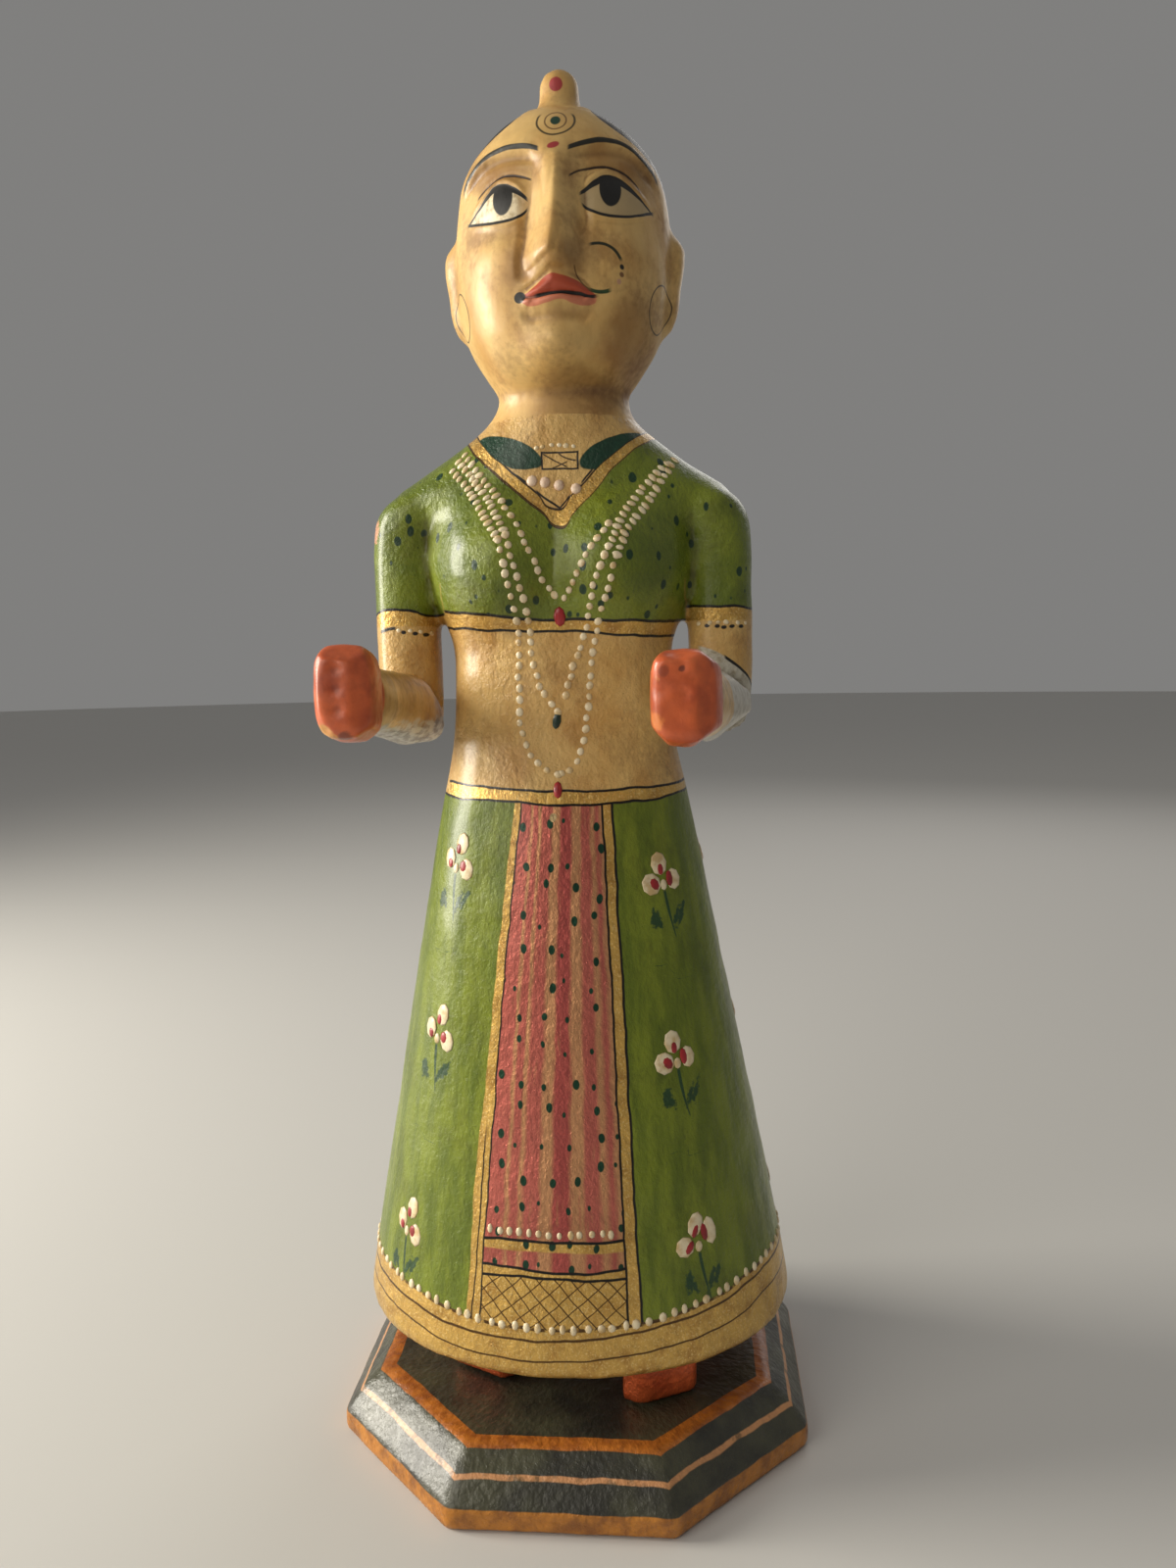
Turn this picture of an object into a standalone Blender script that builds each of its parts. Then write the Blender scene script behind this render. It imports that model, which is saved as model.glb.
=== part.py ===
"""Painted wooden doll of a standing woman on an eight-sided plinth, as four carved pieces.

The plinth is a cut board. The figure is one carving from the soles to the knob on the head. Each forearm is
a piece of its own, glued to the mitred end of the upper arm. +Z is up, the doll faces -Y, and the origin is
on the table, under the middle of the plinth.
"""

import math

import bmesh
import bpy
from mathutils import Vector

MM = 0.001

# Plinth
PLINTH_WIDTH = 86.8 * MM
PLINTH_CORNER_CUT = 24.1 * MM
PLINTH_HEIGHT = 11.0 * MM
PLINTH_RIM_HEIGHT = 4.0 * MM
LOWER_SLOPE_INSET = 3.4 * MM
UPPER_SLOPE_INSET = 3.5 * MM
UPPER_SLOPE_HEIGHT = 2.8 * MM
PLINTH_EDGE_ROUNDING = 0.5 * MM

# Clearances between pieces
REST_GAP = 0.3 * MM
GLUE_GAP = 0.3 * MM

# Figure, with its carving drawn in millimetres above the table at this height
FIGURE_HEIGHT = 236.8 * MM
DRAWN_SOLE = 11.3
DRAWN_TOP = 248.1

# Forearms, measured along the arm from the elbow
ARM_REACH = 52.0 * MM
HAND_LENGTH = 11.0 * MM

SCALE = FIGURE_HEIGHT / (DRAWN_TOP - DRAWN_SOLE)
SOLE_Z = PLINTH_HEIGHT + REST_GAP

# Outline of the skirt, body and neck: height, half width, depth to the front, depth to the back, squareness
BODY = [
    (21.0, 40.5, 33.4, 32.6, 2.0),
    (22.2, 41.3, 34.1, 33.2, 2.0),
    (31.5, 40.1, 33.0, 32.0, 2.0),
    (62.0, 34.3, 27.3, 26.4, 2.05),
    (101.5, 26.8, 20.8, 20.0, 2.1),
    (119.0, 23.3, 17.7, 17.0, 2.15),
    (128.0, 21.3, 15.9, 15.0, 2.2),
    (141.0, 20.5, 15.0, 14.0, 2.2),
    (148.0, 20.7, 15.2, 14.0, 2.2),
    (155.0, 23.3, 15.8, 14.4, 2.25),
    (163.0, 25.2, 15.4, 14.6, 2.3),
    (169.0, 25.8, 14.2, 14.2, 2.25),
    (173.0, 29.4, 13.1, 13.4, 2.15),
    (175.4, 31.0, 12.3, 12.8, 2.05),
    (177.0, 28.8, 12.0, 12.6, 2.0),
    (179.8, 24.3, 11.6, 12.4, 2.0),
    (183.0, 19.6, 11.2, 12.0, 2.0),
    (186.4, 15.2, 10.8, 11.6, 2.0),
    (189.0, 12.9, 10.6, 11.2, 2.0),
    (191.8, 12.0, 10.3, 10.9, 2.0),
    (199.0, 11.6, 9.8, 10.4, 2.0),
]

# The log isn't quite straight: height, and how far the carving's middle stands off to the right
SWAY = [
    (21.0, 0.0),
    (119.0, -0.9),
    (176.0, -0.9),
    (200.0, 0.4),
    (222.0, 0.6),
]

# Outline of the head, drawn in above the brow to a knob that leans forward
HEAD = [
    (189.6, 7.0, 6.0, 7.0, 2.0),
    (193.2, 12.1, 12.8, 12.4, 2.0),
    (196.4, 14.5, 16.8, 15.2, 2.0),
    (200.2, 16.9, 18.6, 17.2, 2.05),
    (204.5, 18.4, 19.0, 18.8, 2.1),
    (212.0, 19.4, 19.2, 20.2, 2.15),
    (220.0, 19.5, 19.0, 20.8, 2.15),
    (227.5, 18.5, 18.5, 20.0, 2.1),
    (231.6, 16.8, 17.0, 18.0, 2.05),
    (235.0, 13.8, 14.8, 14.2, 2.0),
    (237.2, 11.0, 12.8, 10.4, 2.0),
    (238.7, 8.3, 10.8, 7.0, 2.0),
    (239.7, 5.9, 8.9, 3.7, 2.0),
    (240.6, 4.3, 7.5, 1.3, 2.0),
    (242.2, 3.6, 6.9, 0.5, 2.0),
    (244.4, 3.55, 6.8, 0.4, 2.0),
    (246.2, 3.2, 6.5, 0.1, 2.0),
    (247.4, 2.2, 5.5, -0.9, 2.0),
    (248.1, 0.6, 4.0, -2.4, 2.0),
]

# Upper arm, bent in over the shoulder: height, distance of its middle from the body's middle plane, half
# width, half depth
UPPER_ARM = [
    (176.8, 22.6, 4.2, 4.6),
    (175.7, 24.0, 5.4, 6.4),
    (174.0, 25.8, 6.5, 7.6),
    (171.4, 27.4, 7.0, 8.1),
    (168.0, 28.6, 6.6, 7.9),
    (163.0, 29.2, 6.2, 7.3),
    (153.0, 29.5, 6.0, 6.9),
    (146.0, 29.5, 6.0, 6.7),
]

# Flat ear with a long lobe: height, distance of its middle from the middle plane, half width, half depth
EAR = [
    (202.6, 17.0, 0.9, 1.6),
    (204.0, 18.2, 1.6, 2.6),
    (207.5, 19.0, 2.0, 3.4),
    (211.0, 19.4, 1.9, 3.4),
    (214.5, 19.8, 2.2, 3.9),
    (217.8, 19.9, 2.2, 3.5),
    (219.8, 19.2, 1.6, 2.8),
    (220.6, 18.6, 0.6, 1.2),
]
EAR_Y = 0.6

# Elbow mitre, with its back corner drawn in beyond ELBOW_CORNER_Y to this share of its depth, and a bend
# above it that is less slanted
ELBOW_X = 29.4
ELBOW_Z = 135.1
ELBOW_HALF_WIDTH = 6.0
ELBOW_HALF_DEPTH = 6.6
ELBOW_CORNER_Y = 3.0
ELBOW_CORNER_SHARE = 0.8
ELBOW_BEND_RISE = 5.0
ELBOW_BEND_SLOPE = 0.55
LIMB_SQUARENESS = 2.3

# Forearm and fist: the middle of each fist's end as x and z, then half widths and half heights
LEFT_HAND = (-28.1, 140.6)
RIGHT_HAND = (22.0, 139.1)
FOREARM_HALF = (5.5, 6.0)
WRIST_HALF = (4.5, 5.1)
LEFT_HAND_HALF = (4.7, 7.4)
RIGHT_HAND_HALF = (5.2, 7.3)

# Feet: outline seen from above, and how deep they reach into the skirt
FOOT_INNER_X = 9.6
FOOT_WIDTH = 13.5
FOOT_CORNER = 3.4
FOOT_LENGTH = 34.0
HEEL_TAPER = 1.4
FOOT_SPLAY = math.radians(27.0)
RIGHT_TOE_Y = -26.2
LEFT_TOE_Y = -20.2
FOOT_TOP = 24.0

# Swellings and hollows of the face, to both sides of its middle: distance out, height, reach across, reach
# up, and how far they stand forward
FACE_MIDDLE_X = 0.4
FACE_SWELLINGS = {
    "eyes": (9.3, 221.0, 8.2, 5.6, 1.3),
    "cheeks": (10.5, 209.5, 8.0, 8.5, 0.8),
    "upper lip": (0.0, 206.4, 7.4, 2.5, 1.7),
    "lower lip": (0.0, 203.7, 6.4, 2.2, 1.5),
    "hollow under the lip": (0.0, 200.7, 7.0, 2.6, -0.8),
    "chin": (0.0, 197.4, 7.6, 6.6, 2.4),
}
SWELLING_FULLNESS = 2.0

# Nose, a ridge that widens and rises from the brow to its tip
BRIDGE_Z = 229.5
NOSE_TIP_Z = 210.2
NOSE_FOOT_Z = 207.4
BRIDGE_HEIGHT = 0.6
NOSE_HEIGHT = 5.4
BRIDGE_HALF_WIDTH = 3.4
NOSE_HALF_WIDTH = 5.6

# Eye sockets, each under an arched brow edge
BROW_X = 8.3
BROW_Z = 230.0
BROW_FALL = 0.035
BROW_EDGE = 1.5
SOCKET_DEPTH = 1.7
SOCKET_MIDDLE_Z = 221.6
SOCKET_FOOT_Z = 212.5
SOCKET_INNER = (1.4, 3.6)
SOCKET_OUTER = (19.5, 16.0)

# Bust, on both sides of its cleft: distance out, height, reach across, reach up, and how far it stands forward
BUST = (11.6, 162.0, 13.0, 13.5, 4.8)
BUST_FULLNESS = 1.3

# Points round each section, and how close the rows of the head stand
BODY_POINTS = 40
BODY_GATHER = 0.25
HEAD_POINTS = 48
HEAD_GATHER = 0.62
LIMB_POINTS = 20
EAR_POINTS = 12
FACE_ROW_STEP = 1.4
CROWN_ROW_STEP = 0.9
CROWN_FOOT_Z = 231.6

SHARP_ANGLE = math.radians(50)


def clear_scene():
    for thing in list(bpy.data.objects):
        bpy.data.objects.remove(thing)


def paint(name, colour, roughness):
    """A material with one plain colour."""
    made = bpy.data.materials.new(name)
    made.use_nodes = True
    shader = made.node_tree.nodes["Principled BSDF"]
    shader.inputs["Base Color"].default_value = (*colour, 1.0)
    shader.inputs["Roughness"].default_value = roughness
    shader.inputs["Metallic"].default_value = 0.0
    return made


def to_object(name, bm, material):
    """Turns a bmesh into a named object with outward faces and smooth shading."""
    bmesh.ops.recalc_face_normals(bm, faces=bm.faces)
    mesh = bpy.data.meshes.new(name)
    bm.to_mesh(mesh)
    bm.free()
    mesh.materials.append(material)
    mesh.shade_smooth()
    mesh.set_sharp_from_angle(angle=SHARP_ANGLE)
    made = bpy.data.objects.new(name, mesh)
    bpy.context.scene.collection.objects.link(made)
    return made


def sway(z):
    """How far the carving's middle stands off to the right at a drawn height."""
    shift = SWAY[0][1]
    for (low, before), (high, after) in zip(SWAY, SWAY[1:]):
        shift += (after - before) * ramp(z, low, high)
    return shift


def placed(x, y, z):
    """A drawn point of the figure, in metres on the plinth."""
    return Vector(((x + sway(z)) * SCALE, y * SCALE, SOLE_Z + (z - DRAWN_SOLE) * SCALE))


def spread(table, steps):
    """Stations between the drawn ones, on a smooth curve through them."""
    found = []
    for i in range(len(table) - 1):
        before = table[max(i - 1, 0)]
        here, there = table[i], table[i + 1]
        after = table[min(i + 2, len(table) - 1)]
        for step in range(steps):
            t = step / steps
            found.append(tuple(curve_value(*four, t) for four in zip(before, here, there, after)))
    found.append(table[-1])
    return found


def curve_value(a, b, c, d, t):
    """A Catmull-Rom curve from b to c."""
    return 0.5 * (2 * b + (c - a) * t + (2 * a - 5 * b + 4 * c - d) * t**2 + (3 * b - a - 3 * c + d) * t**3)


def power(value, squareness):
    return math.copysign(abs(value) ** (2.0 / squareness), value)


def front_angles(count, gather=0.0):
    """Angles round the figure from its front, closer together there when gather is above zero."""
    turns = [2.0 * math.pi * i / count for i in range(count)]
    return [turn - gather * math.sin(turn) for turn in turns]


def oval(half_width, front, back, squareness, angle):
    """x and y on a rounded section, with the angle counted from the front."""
    x = half_width * power(math.sin(angle), squareness)
    y = (back - front) / 2 - (back + front) / 2 * power(math.cos(angle), squareness)
    return x, y


def loft(rings):
    """A closed skin over rings of equal count, capped at both ends."""
    bm = bmesh.new()
    loops = [[bm.verts.new(p) for p in ring] for ring in rings]
    for low, high in zip(loops, loops[1:]):
        for i in range(len(low)):
            j = (i + 1) % len(low)
            bm.faces.new((low[i], low[j], high[j], high[i]))
    bm.faces.new(loops[0])
    bm.faces.new(loops[-1])
    return bm


def hill(x, z, place, fullness):
    """A smooth swelling on both sides of x = 0, with nothing outside its reach."""
    out, height, reach_x, reach_z, forward = place
    away = ((abs(x) - out) / reach_x) ** 2 + ((z - height) / reach_z) ** 2
    return forward * (1.0 - away) ** fullness if away < 1.0 else 0.0


def ramp(value, low, high):
    """Zero below low, one above high, and a smooth step between."""
    share = min(max((value - low) / (high - low), 0.0), 1.0)
    return share * share * (3.0 - 2.0 * share)


def chest_relief(x, z):
    """How far the bust stands forward of the plain body."""
    return hill(x, z, BUST, BUST_FULLNESS)


def nose_relief(x, z):
    """A long straight nose with a ridge, cut back under its tip."""
    if not NOSE_FOOT_Z < z < BRIDGE_Z:
        return 0.0
    if z >= NOSE_TIP_Z:
        run = (BRIDGE_Z - z) / (BRIDGE_Z - NOSE_TIP_Z)
        height = BRIDGE_HEIGHT + (NOSE_HEIGHT - BRIDGE_HEIGHT) * run**1.25
        half = BRIDGE_HALF_WIDTH + (NOSE_HALF_WIDTH - BRIDGE_HALF_WIDTH) * run**1.4
    else:
        run = (z - NOSE_FOOT_Z) / (NOSE_TIP_Z - NOSE_FOOT_Z)
        height = NOSE_HEIGHT * run**0.7
        half = NOSE_HALF_WIDTH
    across = max(0.0, 1.0 - (abs(x) / half) ** 1.15)
    return ramp(z, BRIDGE_Z, BRIDGE_Z - 2.5) * height * across


def socket_relief(x, z):
    """The hollow under each brow, with a crisp arched edge at the brow and none at the cheek."""
    side = abs(x)
    arch = BROW_Z - BROW_FALL * (side - BROW_X) ** 2
    hollow = ramp(z, arch, arch - BROW_EDGE) * ramp(z, SOCKET_FOOT_Z, SOCKET_MIDDLE_Z)
    return -SOCKET_DEPTH * hollow * ramp(side, *SOCKET_INNER) * ramp(side, *SOCKET_OUTER)


def face_relief(x, z):
    """How far the carved face stands forward of the plain head."""
    x -= FACE_MIDDLE_X
    swellings = sum(hill(x, z, place, SWELLING_FULLNESS) for place in FACE_SWELLINGS.values())
    return swellings + socket_relief(x, z) + nose_relief(x, z)


def stand(rows, angles, relief):
    """A loft up the figure's axis, with carving that stands forward of its front."""
    rings = []
    for height, half_width, front, back, squareness in rows:
        ring = []
        for angle in angles:
            x, y = oval(half_width, front, back, squareness, angle)
            if y < 0:
                y -= relief(x, height) * min(1.0, -y / (0.45 * front))
            ring.append(placed(x, y, height))
        rings.append(ring)
    return loft(rings)


def thinned(rows, finest):
    """Rows no closer together than finest, and always the last."""
    kept = [rows[0]]
    for row in rows[1:-1]:
        if finest <= row[0] - kept[-1][0] and finest <= rows[-1][0] - row[0]:
            kept.append(row)
    kept.append(rows[-1])
    return kept


def plinth(material):
    """Board with eight sides, a straight rim and two slopes up to its flat top."""
    half = PLINTH_WIDTH / 2
    rows = [
        (0.0, 0.0),
        (0.0, PLINTH_RIM_HEIGHT),
        (LOWER_SLOPE_INSET, PLINTH_HEIGHT - UPPER_SLOPE_HEIGHT),
        (LOWER_SLOPE_INSET + UPPER_SLOPE_INSET, PLINTH_HEIGHT),
    ]
    edge_share = math.tan(math.radians(22.5))
    rings = []
    for inset, height in rows:
        wide = half - inset
        edge = half - PLINTH_CORNER_CUT - inset * edge_share
        corners = [(-edge, -wide), (edge, -wide), (wide, -edge), (wide, edge)]
        corners += [(-x, -y) for x, y in corners]
        rings.append([Vector((x, y, height)) for x, y in corners])
    made = to_object("plinth", loft(rings), material)
    bevel = made.modifiers.new("worn edges", "BEVEL")
    bevel.width = PLINTH_EDGE_ROUNDING
    bevel.segments = 1
    bevel.limit_method = "ANGLE"
    bevel.angle_limit = math.radians(15)
    return made


def limb_rings(table, side, count, middle_y):
    """Upright sections of an arm or an ear, to one side of the middle plane."""
    rings = []
    for height, middle, half_width, half_depth in table:
        ring = []
        for angle in front_angles(count):
            x, y = oval(half_width, half_depth, half_depth, LIMB_SQUARENESS, angle)
            ring.append(placed(side * (middle + x), y + middle_y, height))
        rings.append(ring)
    return rings


def ear(side, material):
    return to_object("ear", loft(limb_rings(EAR, side, EAR_POINTS, EAR_Y)), material)


def upper_arm(side, material):
    """Shoulder to elbow, its foot cut on the slant for the forearm."""
    rings = limb_rings(spread(UPPER_ARM, 2), side, LIMB_POINTS, 0.0)
    rings.append(slanted_ring(side, ELBOW_BEND_RISE, ELBOW_BEND_SLOPE, 1.0))
    rings.append(slanted_ring(side, 0.0, 1.0, ELBOW_CORNER_SHARE))
    return to_object("upper arm", loft(rings), material)


def slanted_ring(side, rise, slope, corner_share):
    """A section at the elbow that climbs to the front, with its back corner drawn in."""
    ring = []
    for angle in front_angles(LIMB_POINTS):
        x, y = oval(ELBOW_HALF_WIDTH, ELBOW_HALF_DEPTH, ELBOW_HALF_DEPTH, LIMB_SQUARENESS, angle)
        if y > ELBOW_CORNER_Y:
            y = ELBOW_CORNER_Y + (y - ELBOW_CORNER_Y) * corner_share
        ring.append(placed(side * (ELBOW_X + x), y, ELBOW_Z + rise - slope * y))
    return ring


def foot(side, toe_y, material):
    """A plain foot turned outwards, with its inner toe corner cut off."""
    outer_x = FOOT_INNER_X + FOOT_WIDTH
    outline = [
        (FOOT_INNER_X, toe_y + FOOT_CORNER * 0.5),
        (FOOT_INNER_X + FOOT_CORNER, toe_y),
        (outer_x, toe_y + (FOOT_WIDTH - FOOT_CORNER) * math.tan(FOOT_SPLAY)),
        (outer_x - HEEL_TAPER, toe_y + FOOT_LENGTH),
        (FOOT_INNER_X + HEEL_TAPER, toe_y + FOOT_LENGTH),
    ]
    rings = []
    for height in (DRAWN_SOLE, FOOT_TOP):
        rings.append([placed(side * x, y, height) for x, y in outline])
    return to_object("foot", loft(rings), material)


def union(whole, pieces):
    """Joins pieces to the whole, and leaves them as hidden guides."""
    for piece in pieces:
        piece.hide_render = True
        piece.display_type = "WIRE"
        join = whole.modifiers.new(piece.name, "BOOLEAN")
        join.operation = "UNION"
        join.object = piece


def figure(material):
    """The one carving: skirt, body, upper arms, head, knob and feet."""
    body = stand(spread(BODY, 2), front_angles(BODY_POINTS, BODY_GATHER), chest_relief)
    whole = to_object("figure", body, material)
    face_rows = [row for row in spread(HEAD, 24) if row[0] < CROWN_FOOT_Z]
    crown_rows = [row for row in spread(HEAD, 4) if row[0] >= CROWN_FOOT_Z]
    rows = thinned(face_rows, FACE_ROW_STEP) + thinned(crown_rows, CROWN_ROW_STEP)
    head = stand(rows, front_angles(HEAD_POINTS, HEAD_GATHER), face_relief)
    pieces = [to_object("head", head, material)]
    for side, toe_y in ((-1, LEFT_TOE_Y), (1, RIGHT_TOE_Y)):
        pieces.append(ear(side, material))
        pieces.append(upper_arm(side, material))
        pieces.append(foot(side, toe_y, material))
    union(whole, pieces)
    return whole


def shares(half, width_share, height_share):
    return half[0] * width_share, half[1] * height_share


def forearm(name, side, hand, hand_half, material):
    """Elbow to fist. The elbow end is mitred to the upper arm, and the fist is a block with cut corners."""
    hand_x, hand_z = hand
    reach = ARM_REACH / SCALE
    wrist = reach - HAND_LENGTH / SCALE
    stations = [
        (ELBOW_HALF_DEPTH + 1.4, (ELBOW_HALF_WIDTH, ELBOW_HALF_DEPTH), LIMB_SQUARENESS),
        (0.45 * wrist, FOREARM_HALF, 2.2),
        (wrist, WRIST_HALF, 2.1),
        (wrist + 0.8, shares(hand_half, 0.86, 0.8), 2.8),
        (wrist + 2.6, shares(hand_half, 1.0, 0.97), 3.4),
        (reach - 4.0, hand_half, 3.6),
        (reach - 1.2, shares(hand_half, 0.88, 0.92), 3.2),
        (reach, shares(hand_half, 0.66, 0.76), 2.8),
    ]
    glue_drop = GLUE_GAP * math.sqrt(2) / SCALE
    rings = [slanted_ring(side, -glue_drop, 1.0, ELBOW_CORNER_SHARE)]
    for along, (half_width, half_height), squareness in stations:
        share = along / reach
        x_mid = side * ELBOW_X + (hand_x - side * ELBOW_X) * share
        z_mid = ELBOW_Z + (hand_z - ELBOW_Z) * share
        ring = []
        for angle in front_angles(LIMB_POINTS):
            x, z = oval(half_width, half_height, half_height, squareness, angle)
            ring.append(placed(x_mid + side * x, -along, z_mid - z))
        rings.append(ring)
    return to_object(name, loft(rings), material)


def main():
    clear_scene()
    plinth(paint("dark green plinth paint", (0.045, 0.05, 0.035), 0.35))
    figure(paint("leaf green dress paint", (0.17, 0.26, 0.03), 0.35))
    ochre = (0.55, 0.36, 0.14)
    forearm("left_forearm", -1, LEFT_HAND, LEFT_HAND_HALF, paint("left forearm ochre paint", ochre, 0.4))
    forearm("right_forearm", 1, RIGHT_HAND, RIGHT_HAND_HALF, paint("right forearm ochre paint", ochre, 0.4))


main()
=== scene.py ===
"""Looks of a carved and painted wooden doll: a standing woman in a bell skirt on an eight-sided plinth.

Lengths are in millimetres on the doll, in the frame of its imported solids, and MM turns them into metres.
The doll faces -Y, and left and right are the viewer's.
"""
import math
import random
from functools import reduce

import bpy
from mathutils import Matrix, Vector, noise
from mathutils.bvhtree import BVHTree


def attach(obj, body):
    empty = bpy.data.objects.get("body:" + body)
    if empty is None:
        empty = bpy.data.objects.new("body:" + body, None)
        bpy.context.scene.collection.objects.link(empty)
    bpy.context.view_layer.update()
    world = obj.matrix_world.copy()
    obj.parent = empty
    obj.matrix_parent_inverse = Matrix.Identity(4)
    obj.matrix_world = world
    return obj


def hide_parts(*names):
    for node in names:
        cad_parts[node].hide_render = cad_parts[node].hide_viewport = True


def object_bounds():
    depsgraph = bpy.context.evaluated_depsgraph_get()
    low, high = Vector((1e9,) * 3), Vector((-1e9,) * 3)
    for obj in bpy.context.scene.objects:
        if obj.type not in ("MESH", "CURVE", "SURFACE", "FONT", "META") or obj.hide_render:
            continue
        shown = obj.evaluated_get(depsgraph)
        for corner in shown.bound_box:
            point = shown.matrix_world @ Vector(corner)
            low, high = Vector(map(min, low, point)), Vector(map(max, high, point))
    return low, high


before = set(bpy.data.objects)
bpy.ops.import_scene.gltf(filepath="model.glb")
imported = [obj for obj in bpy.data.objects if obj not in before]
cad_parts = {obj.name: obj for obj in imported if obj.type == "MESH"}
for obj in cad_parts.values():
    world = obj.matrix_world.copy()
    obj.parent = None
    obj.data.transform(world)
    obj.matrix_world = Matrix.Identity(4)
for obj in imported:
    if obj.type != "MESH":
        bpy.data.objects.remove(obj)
cad_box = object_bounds()
MM = 0.001


def paint(red, green, blue):
    """A paint colour as it looks in daylight, 0 to 255 a channel, turned into the shader's own scale."""
    return tuple((channel / 255) ** 2.2 for channel in (red, green, blue)) + (1.0,)


# paints
SKIN = paint(214, 176, 110)
SKIN_DEEP = paint(192, 148, 84)
# brown of old varnish, also laid as painted shade on the face and under the skirt
PATINA_AND_SHADE = paint(122, 78, 34)
GOLD = paint(210, 168, 88)
GOLD_BRIGHT = paint(240, 210, 140)
GOLD_DEEP = paint(160, 114, 52)
GOLD_LINE = paint(84, 58, 24)
LEAF_GREEN = paint(120, 132, 40)
LEAF_GREEN_DEEP = paint(94, 108, 32)
DARK_GREEN = paint(26, 62, 44)
CREAM = paint(236, 220, 184)
DULL_CREAM = paint(178, 154, 112)
INK = paint(28, 26, 22)
RED = paint(164, 36, 42)
ROSE = paint(184, 98, 86)
ROSE_DEEP = paint(172, 82, 76)
ROSE_TAN = paint(196, 142, 100)
LIP_RED = paint(172, 72, 44)
LIP_PINK = paint(198, 118, 88)
ORANGE = paint(212, 100, 54)
ORANGE_DEEP = paint(176, 76, 42)
SLATE = paint(74, 73, 55)
SLATE_DEEP = paint(48, 47, 39)
FRAME_ORANGE = paint(184, 110, 44)
LINE_ORANGE = paint(200, 142, 94)
RIM_OCHRE = paint(190, 122, 42)
HAIR = paint(34, 28, 24)
BARE_WOOD = paint(198, 150, 96)
CHALK = paint(196, 190, 174)
CHALK_DEEP = paint(160, 148, 126)


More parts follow.
